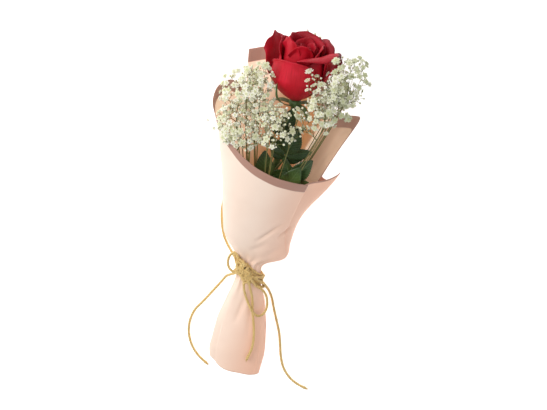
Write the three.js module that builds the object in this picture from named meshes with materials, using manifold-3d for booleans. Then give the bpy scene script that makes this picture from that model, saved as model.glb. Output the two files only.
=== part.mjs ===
// A single red rose with baby's breath, wrapped in two sheets of florist's paper and tied with twine.
// It lies on its back: +Y runs towards the bloom, +X to the right, +Z up from the surface. Millimetres.
// Inside the bouquet group, Y is measured from the tie. The group then moves the tie behind the origin,
// which is the middle of the flat that the wrap's back lies on.

import * as THREE from 'three';
import { mergeVertices } from 'three/addons/utils/BufferGeometryUtils.js';
import Module from 'manifold-3d';

const wasm = await Module();
wasm.setup();

// ---- driving dimensions ----
const TIE_BEHIND_REST = 70;
const SEAT_GAP = 0.3; // between pieces that touch

const PAPER_THICKNESS = 0.7;
const GATHERED_THICKNESS = 1.5; // more paper where the folds are bunched at the tie
const GATHER_REACH = 14; // along Y, either side of the tie
const PLEAT_DEPTH = 0.8;
const PLEAT_COUNT = 12;
const SHEET_GAP = 0.4; // between the two sheets at the tie
const OPEN_SHEET_GAP = 2; // and away from it
const SKIRT_END = -98;
const SKIRT_CUT = 9; // how much shorter the skirt is at its left
const INNER_SHEET_END = -56;
const OUTER_SPAN = { mouth: [40, 362], tie: [22, 380] }; // degrees round the wrap, from edge to edge
const INNER_SPAN = { mouth: [234, 379], tie: [210, 391] };
const FAR_CORNER_PUSH = 9; // the outer sheet's far corner stands this far out at the right

const NECK_HEIGHT = 14.6; // of the tied neck's middle above the surface
const ROSE_STEM_RADIUS = 3;
const SPRAY_STEM_RADIUS = 0.8;
const SPRAY_RING_RADIUS = ROSE_STEM_RADIUS + SEAT_GAP + SPRAY_STEM_RADIUS;

const BLOOM_BASE = new THREE.Vector3(14, 165, 36);
const BLOOM_TILT = 14; // degrees up from the surface
const BLOOM_LEAN = 4; // degrees to the left of +Y
const BLOOM_LENGTH = 57;
const BLOOM_RADIUS = 26;
const BELLY_SHARE = 0.6; // of the bloom's length, where it is widest
const PETAL_THICKNESS = 0.9;
const PETAL_FOOT_RADIUS = 2.6;
const PETAL_FOOT_HEIGHT = 1.2;
const PETAL_OVERLAP = 1.1; // how far one side of a petal stands out over the next

const LEAF_THICKNESS = 0.7;
const PETIOLE_RADIUS = 0.9;
const FLORET_DIAMETER = 7.6;
const BUD_DIAMETER = 4.4;
const STALK_RADIUS = 0.5;
const TWIG_CLEARANCE = 0.6;

const TWINE_DIAMETER = 2.6;
const TWINE_SIDES = 8;

const PAPER = { color: 0xf0cdb8, roughness: 0.75, metalness: 0 };
const PAPER_INSIDE = { color: 0xd9a184, roughness: 0.75, metalness: 0 };
const ROSE_RED = { color: 0xb8152c, roughness: 0.6, metalness: 0 };
const LEAF_GREEN = { color: 0x34492f, roughness: 0.6, metalness: 0 };
const FLORET_CREAM = { color: 0xf0eed4, roughness: 0.8, metalness: 0 };
const TWINE_GOLD = { color: 0xcda45a, roughness: 0.85, metalness: 0 };

const bouquet = new THREE.Group();
bouquet.position.y = -TIE_BEHIND_REST;

// ---- small tools ----
const vec = (x, y, z) => new THREE.Vector3(x, y, z);
const radians = THREE.MathUtils.degToRad;
const smoothstep = THREE.MathUtils.smoothstep;
const lerp = THREE.MathUtils.lerp;
const nearTie = (y, reach) => Math.exp(-((y / reach) ** 2));

function seededRandom(seed) {
  let state = seed;
  return () => {
    state = (state * 1664525 + 1013904223) % 4294967296;
    return state / 4294967296;
  };
}

function addPiece(name, geometry, finish) {
  const mesh = new THREE.Mesh(geometry, new THREE.MeshStandardMaterial(finish));
  mesh.name = name;
  bouquet.add(mesh);
  return mesh;
}

function toSolid(geometry) {
  const bare = geometry.clone();
  bare.deleteAttribute('normal');
  bare.deleteAttribute('uv');
  const merged = mergeVertices(bare, 1e-4);
  const vertProperties = new Float32Array(merged.attributes.position.array);
  const triVerts = new Uint32Array(merged.index.array);
  return new wasm.Manifold(new wasm.Mesh({ numProp: 3, vertProperties, triVerts }));
}

function toGeometry(solid) {
  const mesh = solid.getMesh();
  const geometry = new THREE.BufferGeometry();
  geometry.setAttribute('position', new THREE.BufferAttribute(new Float32Array(mesh.vertProperties), 3));
  geometry.setIndex(new THREE.BufferAttribute(new Uint32Array(mesh.triVerts), 1));
  return geometry;
}

// Joins the pieces, and keeps the body that holds the first one's bulk, without loose scraps.
function joined(geometries) {
  let solid = toSolid(geometries[0]);
  for (const geometry of geometries.slice(1)) solid = solid.add(toSolid(geometry));
  const bodies = solid.decompose();
  bodies.sort((a, b) => b.volume() - a.volume());
  return toGeometry(bodies[0]);
}

// A closed thick sheet over a grid of u and v. face(i, j, side) gives a point on side 0, the outer
// face, or side 1, the inner one. Both faces split their squares along the same diagonal.
function closedSheet(columns, rows, face) {
  const positions = [];
  const index = [];
  const id = (i, j, side) => (side * (columns + 1) + i) * (rows + 1) + j;
  for (const side of [0, 1]) {
    for (let i = 0; i <= columns; i += 1) {
      for (let j = 0; j <= rows; j += 1) positions.push(...face(i, j, side).toArray());
    }
  }
  const quad = (a, b, c, d) => index.push(a, b, c, a, c, d);
  for (let i = 0; i < columns; i += 1) {
    for (let j = 0; j < rows; j += 1) {
      quad(id(i, j, 0), id(i + 1, j, 0), id(i + 1, j + 1, 0), id(i, j + 1, 0));
      index.push(id(i, j, 1), id(i + 1, j + 1, 1), id(i + 1, j, 1));
      index.push(id(i, j, 1), id(i, j + 1, 1), id(i + 1, j + 1, 1));
    }
  }
  for (let i = 0; i < columns; i += 1) {
    quad(id(i, 0, 0), id(i, 0, 1), id(i + 1, 0, 1), id(i + 1, 0, 0));
    quad(id(i, rows, 0), id(i + 1, rows, 0), id(i + 1, rows, 1), id(i, rows, 1));
  }
  for (let j = 0; j < rows; j += 1) {
    quad(id(0, j, 0), id(0, j + 1, 0), id(0, j + 1, 1), id(0, j, 1));
    quad(id(columns, j, 0), id(columns, j, 1), id(columns, j + 1, 1), id(columns, j + 1, 0));
  }
  const geometry = new THREE.BufferGeometry();
  geometry.setAttribute('position', new THREE.Float32BufferAttribute(positions, 3));
  geometry.setIndex(index);
  return facingOut(geometry);
}

// Turns a closed mesh's faces outwards when its volume comes out negative.
function facingOut(geometry) {
  const at = geometry.attributes.position;
  const index = geometry.index.array;
  const [a, b, c] = [vec(), vec(), vec()];
  let volume = 0;
  for (let k = 0; k < index.length; k += 3) {
    a.fromBufferAttribute(at, index[k]);
    b.fromBufferAttribute(at, index[k + 1]);
    c.fromBufferAttribute(at, index[k + 2]);
    volume += a.dot(b.cross(c));
  }
  if (volume < 0) {
    for (let k = 0; k < index.length; k += 3) [index[k], index[k + 1]] = [index[k + 1], index[k]];
  }
  return geometry;
}

// A thick sheet centred on surface(u, v), with u and v from 0 to 1.
function thickSurface(surface, columns, rows, thickness) {
  const step = 1e-3;
  return closedSheet(columns, rows, (i, j, side) => {
    const [u, v] = [i / columns, j / rows];
    const across = surface(Math.min(u + step, 1), v).sub(surface(Math.max(u - step, 0), v));
    const along = surface(u, Math.min(v + step, 1)).sub(surface(u, Math.max(v - step, 0)));
    const normal = across.cross(along).normalize();
    return surface(u, v).addScaledVector(normal, (0.5 - side) * thickness);
  });
}

function circleShape(radius, sides) {
  const corners = [];
  for (let k = 0; k < sides; k += 1) {
    const angle = (2 * Math.PI * k) / sides;
    corners.push(new THREE.Vector2(radius * Math.cos(angle), radius * Math.sin(angle)));
  }
  return new THREE.Shape(corners);
}

function tubeAlong(points, radius, sides, steps) {
  const extrudePath = new THREE.CatmullRomCurve3(points, false, 'centripetal');
  return new THREE.ExtrudeGeometry(circleShape(radius, sides), { steps, extrudePath });
}

// ---- the wrap's form ----
// Each section across the bouquet is an oval, cut flat where it would pass under the surface.
// y from the tie, then the oval's left, right, top and bottom.
const WRAP_SECTIONS = [
  [-103, -20, 25, 24, 0],
  [-80, -25, 27.5, 26, -2],
  [-50, -22, 25, 25, -2],
  [-28, -16.5, 19.5, 24, 1],
  [-10, -11, 11.5, 24.4, 4.4],
  [0, -10, 10, 24.6, 4.6],
  [7, -11, 11, 24.8, 4.2],
  [12, -14, 18, 26, 1.5],
  [19, -21, 30, 31, -1],
  [30, -29, 33, 37, -4],
  [50, -33, 35, 47, -6],
  [75, -37, 42, 58, -6],
  [100, -42, 50, 66, -6],
  [125, -48, 58, 71, -6],
  [150, -57, 67, 76, -6],
  [175, -62, 75, 78, -6],
  [220, -68, 82, 80, -6],
];
const sectionAt = new THREE.LinearInterpolant(
  WRAP_SECTIONS.map((section) => section[0]),
  WRAP_SECTIONS.flatMap((section) => section.slice(1)),
  4,
);

function wrapPoint(angle, y) {
  const [left, right, top, bottom] = sectionAt.evaluate(y);
  const x = (left + right) / 2 + ((right - left) / 2) * Math.cos(radians(angle));
  const z = (top + bottom) / 2 + ((top - bottom) / 2) * Math.sin(radians(angle));
  return vec(x, y, Math.max(z, 0));
}

// The point a given depth inside the wrap's outer face.
function wrapInside(angle, y, depth) {
  const around = wrapPoint(angle + 1.5, y).sub(wrapPoint(angle - 1.5, y));
  const along = wrapPoint(angle, y + 1.5).sub(wrapPoint(angle, y - 1.5));
  const inward = around.cross(along).normalize();
  return wrapPoint(angle, y).addScaledVector(inward, depth);
}

// How far a point is inside the wrap's oval, as a share of the oval: 1 on its face, less within.
function wrapShare(point) {
  const [left, right, top, bottom] = sectionAt.evaluate(point.y);
  const x = (point.x - (left + right) / 2) / ((right - left) / 2);
  const z = (point.z - (top + bottom) / 2) / ((top - bottom) / 2);
  return { share: Math.hypot(x, z), angle: THREE.MathUtils.radToDeg(Math.atan2(z, x)), reach: right - left };
}

// A rim is a list of [angle, y], joined by straight paper edges.
function rimHeight(rim, angle) {
  const next = rim.findIndex(([rimAngle]) => rimAngle >= angle);
  if (next <= 0) return rim[next === 0 ? 0 : rim.length - 1][1];
  const [a0, y0] = rim[next - 1];
  const [a1, y1] = rim[next];
  return lerp(y0, y1, (angle - a0) / (a1 - a0));
}

// Angles: 0 is the right side, 90 the front, 180 the left, 270 the back.
const OUTER_RIM = [
  [40, 96], [62, 98], [85, 101], [108, 107], [126, 115], [142, 124], [158, 134], [178, 148],
  [200, 163], [221, 170], [240, 160], [300, 138], [340, 118], [362, 111],
];
const INNER_RIM = [[234, 204], [262, 215], [285, 190], [305, 162], [320, 155], [350, 162], [379, 163]];
const OUTER_ROWS = [-80, -50, -28, -12, -2, 8, 20, 30];
const INNER_ROWS = [-30, -12, -2, 8, 20, 30];
const COMMON_TOP = 30;
const ROWS_TO_RIM = 4;
const INNER_COLUMNS = 13;
const MOUTH_Y = 100; // well above the gathers

// The y of row j, from the sheet's lower edge, over the rows that all columns share, up to the rim.
function rowHeight(rows, lowerEdge, rimY, j) {
  if (j === 0) return lowerEdge;
  if (j <= rows.length) return rows[j - 1];
  return lerp(COMMON_TOP, rimY, (j - rows.length) / ROWS_TO_RIM);
}

// The angle at a share u of a sheet's span, which closes up towards the tie.
function spanAngle(span, u, y) {
  const gathered = 1 - smoothstep(y, 15, 42);
  return lerp(lerp(span.mouth[0], span.tie[0], gathered), lerp(span.mouth[1], span.tie[1], gathered), u);
}

function paperThickness(y) {
  return PAPER_THICKNESS + GATHERED_THICKNESS * nearTie(y, GATHER_REACH);
}

// The outer sheet goes from the front panel's right edge, over the front and left, round the back,
// and out at the right, where its far corner stands clear.
function outerSheet() {
  const columns = 2 * PLEAT_COUNT;
  const rows = OUTER_ROWS.length + ROWS_TO_RIM;
  return closedSheet(columns, rows, (i, j, side) => {
    const u = i / columns;
    const rimY = rimHeight(OUTER_RIM, spanAngle(OUTER_SPAN, u, MOUTH_Y));
    const skirtAngle = radians(spanAngle(OUTER_SPAN, u, 0));
    const lowerEdge = SKIRT_END + SKIRT_CUT * Math.max(0, -Math.cos(skirtAngle)) ** 2;
    const y = rowHeight(OUTER_ROWS, lowerEdge, rimY, j);
    const angle = spanAngle(OUTER_SPAN, u, y);
    const pleat = (i % 2 ? 0.5 : -0.5) * PLEAT_DEPTH * nearTie(y, 2 * GATHER_REACH);
    const depth = side === 0 ? pleat : paperThickness(y);
    const point = wrapInside(angle, y, depth);
    point.z = Math.max(point.z, side * depth);
    point.x += FAR_CORNER_PUSH * smoothstep(angle, 318, OUTER_SPAN.mouth[1]) * smoothstep(y, 55, 108);
    return point;
  });
}

// The inner sheet has its tall corner behind the bloom, and its wing stands up at the right.
function innerSheet() {
  const rows = INNER_ROWS.length + ROWS_TO_RIM;
  return closedSheet(INNER_COLUMNS, rows, (i, j, side) => {
    const u = i / INNER_COLUMNS;
    const rimY = rimHeight(INNER_RIM, spanAngle(INNER_SPAN, u, MOUTH_Y));
    const y = rowHeight(INNER_ROWS, INNER_SHEET_END, rimY, j);
    const angle = spanAngle(INNER_SPAN, u, y);
    const gap = lerp(OPEN_SHEET_GAP, SHEET_GAP, nearTie(y, 2 * GATHER_REACH));
    const depth = paperThickness(y) + gap + side * paperThickness(y);
    return wrapInside(angle, y, depth);
  });
}

// ---- the rose ----
const bloomAxis = vec(
  -Math.sin(radians(BLOOM_LEAN)) * Math.cos(radians(BLOOM_TILT)),
  Math.cos(radians(BLOOM_LEAN)) * Math.cos(radians(BLOOM_TILT)),
  Math.sin(radians(BLOOM_TILT)),
);
const bloomRight = vec(0, 0, 1).cross(bloomAxis).normalize().negate();
const bloomFront = bloomRight.clone().cross(bloomAxis).normalize();

// A point by its angle round the bloom's axis (0 right, 90 front), radius and height above the base.
function bloomPoint(angle, radius, height) {
  const turned = radians(angle);
  return BLOOM_BASE.clone()
    .addScaledVector(bloomAxis, height)
    .addScaledVector(bloomRight, radius * Math.cos(turned))
    .addScaledVector(bloomFront, radius * Math.sin(turned));
}

// Each ring of petals: how many, the first one's angle, the belly radius, the height, how wide a petal
// is in degrees either side of its middle, and how far its lip curls out.
const PETAL_RINGS = [
  { count: 3, first: 75, radius: 13.5, height: 54, spread: 70, curl: 1 },
  { count: 3, first: 40, radius: 18.8, height: 56, spread: 70, curl: 3 },
  { count: 4, first: 82, radius: 22.5, height: 54, spread: 57, curl: 5 },
];
// The outermost petals stand by themselves: the left one is rolled right back.
const OUTER_PETALS = [
  { angle: 158, radius: 24.5, height: 58, spread: 34, curl: 7 },
  { angle: 352, radius: 24.5, height: 46, spread: 40, curl: 9 },
  { angle: 262, radius: 24, height: 52, spread: 46, curl: 6 },
];

// How far the bloom has swollen at a share of its height: 0 at its base, 1 from its belly upwards.
const swell = (share) => Math.sin(Math.min(share / BELLY_SHARE, 1) * (Math.PI / 2)) ** 0.85;

// One side of each petal lies over its neighbour, and its lip draws in a little before it curls out.
function petal({ angle, radius, height, spread, curl }) {
  const surface = (u, v) => {
    const side = 2 * u - 1;
    const lip = smoothstep(v, 0.72, 1);
    const reach = lerp(PETAL_FOOT_RADIUS, radius, swell(v)) + curl * lip ** 2 - 0.09 * radius * lip;
    const width = spread * lerp(0.8, 1, Math.sin(Math.PI * v * 0.7));
    const top = height * v * (1 - 0.13 * Math.abs(side) ** 2.4 * lip) - 0.35 * curl * lip ** 3;
    return bloomPoint(angle + width * side, reach + PETAL_OVERLAP * side, top + PETAL_FOOT_HEIGHT);
  };
  return thickSurface(surface, 4, 5, PETAL_THICKNESS);
}

// A round body on the bloom's axis, from an outline of [radius, height].
function turnedOnAxis(outline) {
  const lathe = new THREE.LatheGeometry(outline.map(([x, y]) => new THREE.Vector2(x, y)), 8);
  const basis = new THREE.Matrix4().makeBasis(bloomRight, bloomAxis, bloomFront);
  return lathe.applyMatrix4(basis).translate(...BLOOM_BASE.toArray());
}

const HEART_OUTLINE = [
  [0, 0.3], [4.6, 0.3], [6.4, 3], [7.4, 12], [7.2, 30], [5.4, 44], [2.6, 49], [0, 49.5],
];
const HIP_OUTLINE = [[0, -9], [3.2, -9], [4.4, -6.5], [5.6, -3], [4.8, 0], [0, 0]];

function bloom() {
  const pieces = [turnedOnAxis(HEART_OUTLINE)];
  for (const ring of PETAL_RINGS) {
    for (let k = 0; k < ring.count; k += 1) {
      pieces.push(petal({ ...ring, angle: ring.first + (360 / ring.count) * k }));
    }
  }
  for (const outer of OUTER_PETALS) pieces.push(petal(outer));
  return joined(pieces);
}

// ---- the rose's stem, calyx and leaves ----
const STEM_ROUTE = [
  vec(0, -84, NECK_HEIGHT), vec(0, -40, NECK_HEIGHT), vec(0, 8, NECK_HEIGHT), vec(1.5, 45, 17),
  vec(6, 95, 23), vec(11.5, 140, 30.5), BLOOM_BASE.clone().addScaledVector(bloomAxis, -7),
];

const stemCurve = new THREE.CatmullRomCurve3(STEM_ROUTE, false, 'centripetal');
const stemPoints = stemCurve.getSpacedPoints(120);

// What a spray must keep clear of: balls, each a centre and a radius.
const occupied = [];
const keepClear = (point, radius) => occupied.push({ point: point.clone(), radius });

// A leaf's blade, folded a little along its rib, with forward-pointing teeth on both edges.
function leaflet({ base, tip, up, width, teeth }) {
  const along = tip.clone().sub(base);
  const length = along.length();
  along.normalize();
  const across = along.clone().cross(up).normalize();
  const normal = across.clone().cross(along).normalize();
  const rows = 2 * teeth;
  const blade = (column, row) => {
    const share = row / rows;
    const half = (width / 2) * Math.sin(Math.PI * (0.04 + 0.94 * share) ** 0.8) ** 0.8;
    const tooth = row % 2 === 1 && row < rows ? 1.09 : 0.95;
    const droop = 0.1 * length * share ** 2;
    const point = base.clone().addScaledVector(along, length * share);
    point.addScaledVector(across, (column - 1) * half * tooth);
    return point.addScaledVector(normal, Math.abs(column - 1) * half * 0.22 - droop);
  };
  for (let row = 0; row <= rows; row += 1) {
    for (const column of [0, 0.5, 1, 1.5, 2]) keepClear(blade(column, row), 2);
  }
  return closedSheet(2, rows, (column, row, side) =>
    blade(column, row).addScaledVector(normal, (0.5 - side) * LEAF_THICKNESS));
}

// A rose leaf: a petiole from the stem, with a leaflet at its end and a pair of them before that.
function roseLeaf({ from, elbow, end, up, size }) {
  const pieces = [tubeAlong([from, elbow, end], PETIOLE_RADIUS, 4, 5)];
  const reach = end.clone().sub(elbow);
  const direction = reach.clone().normalize();
  const across = direction.clone().cross(up).normalize();
  const tip = end.clone().addScaledVector(direction, size);
  const endBase = end.clone().addScaledVector(direction, -1.5);
  pieces.push(leaflet({ base: endBase, tip, up, width: size * 0.62, teeth: 5 }));
  const node = end.clone().addScaledVector(reach, -0.25);
  for (const side of [-1, 1]) {
    const base = node.clone().addScaledVector(across, side * 0.4);
    const outward = direction.clone().multiplyScalar(0.5).addScaledVector(across, side * 0.85).normalize();
    const sideTip = base.clone().addScaledVector(outward, size * 0.82);
    pieces.push(leaflet({ base, tip: sideTip, up, width: size * 0.5, teeth: 4 }));
  }
  for (let k = 0; k <= 6; k += 1) keepClear(from.clone().lerp(elbow, k / 6), 1.6);
  for (let k = 0; k <= 6; k += 1) keepClear(elbow.clone().lerp(end, k / 6), 1.6);
  return pieces;
}

const LEAVES = [
  { from: vec(1.2, 44, 18), elbow: vec(9, 66, 29), end: vec(17, 84, 39), up: vec(-0.2, -0.35, 1), size: 30 },
  { from: vec(2.5, 58, 20), elbow: vec(1, 78, 32), end: vec(-1, 94, 40), up: vec(0.1, -0.3, 1), size: 27 },
  { from: vec(7, 98, 25), elbow: vec(12, 110, 36), end: vec(15, 120, 42), up: vec(0, -0.5, 1), size: 26 },
];

// Five narrow sepals spring from the hip under the bloom.
const SEPAL_ANGLES = [30, 102, 174, 246, 318];
const SEPAL_HALF_WIDTH = 3.4;
const sepalReach = (v) => 4.2 + 21 * v ** 0.8;
const sepalHeight = (v) => -3.2 + 2.2 * Math.sin(2.4 * v) - 9 * v ** 2;
const sepalMiddle = (angle, v) => bloomPoint(angle, sepalReach(v), sepalHeight(v));

function sepal(angle) {
  const surface = (u, v) => {
    const half = SEPAL_HALF_WIDTH * Math.sin(Math.PI * (0.3 + 0.66 * v)) ** 0.9;
    const turn = Math.atan2(half * (2 * u - 1), sepalReach(v));
    return bloomPoint(angle + THREE.MathUtils.radToDeg(turn), sepalReach(v), sepalHeight(v));
  };
  return thickSurface(surface, 2, 3, LEAF_THICKNESS);
}

function roseStem() {
  const pieces = [tubeAlong(STEM_ROUTE, ROSE_STEM_RADIUS, 8, 12), turnedOnAxis(HIP_OUTLINE)];
  for (const angle of SEPAL_ANGLES) pieces.push(sepal(angle));
  for (const leaf of LEAVES) pieces.push(...roseLeaf(leaf));
  stemPoints.filter((point) => point.y > 36).forEach((point) => keepClear(point, ROSE_STEM_RADIUS));
  return joined(pieces);
}

function keepClearOfBloom() {
  for (let height = 2; height <= BLOOM_LENGTH; height += 5) {
    const radius = BLOOM_RADIUS * swell(height / BLOOM_LENGTH);
    for (let angle = 0; angle < 360; angle += 20) keepClear(bloomPoint(angle, radius - 2, height), 5.5);
    keepClear(bloomPoint(0, 0, height), Math.max(radius - 1, 4));
  }
  for (const angle of SEPAL_ANGLES) {
    for (const v of [0.2, 0.5, 0.8, 1]) keepClear(sepalMiddle(angle, v), 3.4);
  }
}

// ---- baby's breath ----
// Each spray has its own stem in the ring round the rose's stem, and fills a ball of its own.
const TIPS_PER_SPRAY = 20;
const OPEN_SHARE = 0.55; // of the tips are open florets, the rest are buds
// [name, angle of its stem in the ring, middle of its ball, the ball's half sizes, points on the way]
const SPRAYS = [
  ['spray_left_back', 200, vec(-34, 160, 34), vec(19, 25, 17), []],
  ['spray_left_front', 155, vec(-31, 138, 58), vec(20, 22, 14), []],
  ['spray_left_top', 108, vec(-20, 178, 60), vec(15, 20, 17), [vec(-9, 90, 30)]],
  ['spray_middle', 62, vec(4, 137, 62), vec(17, 17, 13), [vec(3, 85, 50)]],
  ['spray_right_front', 15, vec(41, 160, 66), vec(19, 23, 14), [vec(24, 95, 40)]],
  ['spray_right_top', 325, vec(56, 193, 58), vec(19, 22, 19), []],
  ['spray_right_back', 280, vec(47, 170, 30), vec(19, 26, 14), []],
].map(([name, ring, heart, size, via]) => ({ name, ring, heart, size, via }));

// A point beside the rose's stem, at a distance from its middle.
function besideStem(angle, y, distance) {
  const middle = stemPoints.find((point) => point.y >= y);
  const turned = radians(angle);
  return vec(middle.x + distance * Math.cos(turned), y, middle.z + distance * Math.sin(turned));
}

function segmentIsFree(from, to, radius, blockers) {
  const line = new THREE.Line3(from, to);
  const nearest = vec();
  for (const ball of blockers) {
    line.closestPointToPoint(ball.point, true, nearest);
    if (nearest.distanceTo(ball.point) < ball.radius + radius) return false;
  }
  return true;
}

// Inside the wrap, clear of its paper, or past its rim. Behind the bloom the inner sheet stands higher.
function insideWrap(point, margin) {
  if (point.z < 5 + margin) return false;
  const { share, angle, reach } = wrapShare(point);
  const turned = (angle + 360) % 360;
  const behind = turned < 25 || turned > 230;
  const outerRim = rimHeight(OUTER_RIM, turned < OUTER_SPAN.mouth[0] ? turned + 360 : turned);
  const rimY = Math.max(outerRim, behind ? 170 : 0);
  return point.y > rimY + 7 || share < 1 - (2 * (margin + 4.5)) / reach;
}

// Bridges two rings of points that share an axis, each point given as its index and its angle.
function bridgeRings(low, high, index) {
  let [a, b] = [0, 0];
  const angleOf = (ring, k) => ring[k % ring.length].angle + 2 * Math.PI * Math.floor(k / ring.length);
  while (a < low.length || b < high.length) {
    const lowIsNext = b === high.length || angleOf(low, a + 1) <= angleOf(high, b + 1);
    const stepsLow = a < low.length && lowIsNext;
    const next = stepsLow ? low[(a + 1) % low.length] : high[(b + 1) % high.length];
    index.push(low[a % low.length].id, high[b % high.length].id, next.id);
    if (stepsLow) a += 1;
    else b += 1;
  }
}

// A stalk that opens into a floret, a cup of five notched petals, or into a small closed bud.
function flowerStalk({ from, point: tip, outward, diameter, isOpen }) {
  const radius = diameter / 2;
  const lobes = isOpen ? 10 : 5;
  const foot = tip.clone().addScaledVector(outward, -0.55 * radius);
  const stalkAxis = foot.clone().sub(from).normalize();
  const positions = [];
  const ring = (centre, axis, count, reachOf, liftOf) => {
    const turn = new THREE.Quaternion().setFromUnitVectors(vec(0, 1, 0), axis);
    return Array.from({ length: count }, (_, k) => {
      const angle = (2 * Math.PI * k) / count;
      const offset = vec(reachOf(k) * Math.cos(angle), liftOf(k), -reachOf(k) * Math.sin(angle));
      positions.push(...offset.applyQuaternion(turn).add(centre).toArray());
      return { id: positions.length / 3 - 1, angle };
    });
  };
  const notch = (k) => isOpen && k % 2 === 1;
  const rootRing = ring(from, stalkAxis, 3, () => STALK_RADIUS, () => 0);
  const footRing = ring(foot, outward, 3, () => 0.85 * STALK_RADIUS, () => 0);
  const rimRing = ring(tip, outward, lobes, (k) => (notch(k) ? 0.62 : 1) * radius,
    (k) => (isOpen && !notch(k) ? 0.25 * radius : 0));
  positions.push(...tip.clone().addScaledVector(outward, (isOpen ? -0.12 : 0.7) * radius).toArray());
  const top = positions.length / 3 - 1;
  const index = rootRing.map(({ id }) => id);
  bridgeRings(rootRing, footRing, index);
  bridgeRings(footRing, rimRing, index);
  rimRing.forEach(({ id }, k) => index.push(id, top, rimRing[(k + 1) % lobes].id));
  const geometry = new THREE.BufferGeometry();
  geometry.setAttribute('position', new THREE.Float32BufferAttribute(positions, 3));
  geometry.setIndex(index);
  return facingOut(geometry);
}

// In the ring through the tie, then out beside the rose's stem to the spray's own place.
function sprayRoute({ ring, heart, size, via }) {
  const through = [-64, -28, 10].map((y) => besideStem(ring, y, SPRAY_RING_RADIUS));
  const entry = heart.clone().sub(vec(0, 0.9 * size.y, 0.4 * size.z));
  return [...through, besideStem(ring, 30, SPRAY_RING_RADIUS + 2.2), ...via, entry, heart.clone()];
}

// The stems go in first, so that no spray's twigs cross another spray's stem.
const sprayStems = new Map();
function claimSprayStems() {
  for (const spray of SPRAYS) {
    const route = new THREE.CatmullRomCurve3(sprayRoute(spray), false, 'centripetal');
    const points = route.getSpacedPoints(90);
    sprayStems.set(spray.name, points.map((point) => ({ point, radius: SPRAY_STEM_RADIUS })));
  }
}

function sprayTips(spray, random, blockers) {
  const tips = [];
  for (let attempt = 0; attempt < 4000 && tips.length < TIPS_PER_SPRAY; attempt += 1) {
    const offset = vec(random() * 2 - 1, random() * 2 - 1, random() * 2 - 1);
    if (offset.length() > 1) continue;
    const point = spray.heart.clone().add(offset.clone().multiply(spray.size));
    const isOpen = random() < OPEN_SHARE;
    const diameter = (isOpen ? FLORET_DIAMETER : BUD_DIAMETER) * lerp(0.85, 1.12, random());
    if (!insideWrap(point, diameter / 2)) continue;
    if (tips.some((tip) => tip.point.distanceTo(point) < 0.58 * (tip.diameter + diameter))) continue;
    if (!segmentIsFree(point, point, diameter / 2 + 0.4, blockers)) continue;
    tips.push({ point, isOpen, diameter });
  }
  return tips;
}

// The fork from which a twig reaches its floret by a short way that runs up the bouquet, not across.
function chooseFork(forks, foot, blockers, florets) {
  const cost = (fork) => {
    const path = foot.clone().sub(fork);
    const distance = path.length();
    return distance + 0.6 * distance * (1 - path.normalize().y);
  };
  const isClear = (fork) => segmentIsFree(fork, foot, 0.8, blockers)
    && segmentIsFree(fork, foot, 0.3, florets)
    && [0.35, 0.7, 1].every((share) => insideWrap(fork.clone().lerp(foot, share), 0.8));
  const candidates = forks.filter((fork) => foot.y - fork.y > 3 && fork.distanceTo(foot) > 5);
  candidates.sort((a, b) => cost(a) - cost(b));
  return candidates.slice(0, 12).find(isClear);
}

// Twigs start from the stem or from twigs that have grown already, lowest florets first.
function buildSpray(spray, seed) {
  const otherStems = [...sprayStems].filter(([name]) => name !== spray.name).flatMap(([, balls]) => balls);
  const blockers = occupied.concat(otherStems);
  const stem = sprayStems.get(spray.name).map((ball) => ball.point);
  const pieces = [tubeAlong(sprayRoute(spray), SPRAY_STEM_RADIUS, 5, 14)];
  const forks = stem.slice(50).filter((point) => point.y > 60);
  const twigs = [];
  const florets = [];
  const tips = sprayTips(spray, seededRandom(seed), blockers).sort((a, b) => a.point.y - b.point.y);
  for (const tip of tips) {
    const fromHeart = tip.point.clone().sub(spray.heart).divide(spray.size);
    const outward = fromHeart.add(vec(0, 0.3, 0.75)).normalize();
    const foot = tip.point.clone().addScaledVector(outward, -0.3 * tip.diameter);
    const fork = chooseFork(forks, foot, blockers, florets);
    if (!fork) continue;
    pieces.push(flowerStalk({ ...tip, from: fork, outward }));
    forks.push(fork.clone().lerp(foot, 0.45), fork.clone().lerp(foot, 0.7));
    florets.push({ point: tip.point.clone(), radius: tip.diameter / 2 });
    const steps = Math.ceil(fork.distanceTo(foot) / 1.5);
    for (let k = 0; k <= steps; k += 1) {
      twigs.push({ point: fork.clone().lerp(foot, k / steps), radius: TWIG_CLEARANCE });
    }
  }
  occupied.push(...twigs, ...florets);
  addPiece(spray.name, joined(pieces), FLORET_CREAM);
}

// ---- the twine ----
const TWINE_RADIUS = TWINE_DIAMETER / 2;
const BINDING_TURNS = 3;
const BINDING_SLANT = 2.6; // along Y, from the binding's middle up to its left side
const CHORD_SAG = 1; // how far a turn's straight steps cut inside its circle

// Three turns round the neck, laid on a slant: higher on the left, lower on the right.
function binding() {
  const stepsPerTurn = 12;
  const clear = PLEAT_DEPTH / 2 + SEAT_GAP + TWINE_RADIUS + CHORD_SAG;
  const points = [];
  for (let k = 0; k <= stepsPerTurn * BINDING_TURNS; k += 1) {
    const angle = (2 * Math.PI * k) / stepsPerTurn + 1.9;
    const along = (TWINE_DIAMETER + 0.35) * (k / stepsPerTurn - BINDING_TURNS / 2);
    const y = along - 2.5 - BINDING_SLANT * Math.cos(angle);
    const [left, right, top, bottom] = sectionAt.evaluate(y);
    points.push(vec(
      (left + right) / 2 + ((right - left) / 2 + clear) * Math.cos(angle),
      y,
      (top + bottom) / 2 + ((top - bottom) / 2 + clear) * Math.sin(angle),
    ));
  }
  return tubeAlong(points, TWINE_RADIUS, TWINE_SIDES, 30);
}

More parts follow.
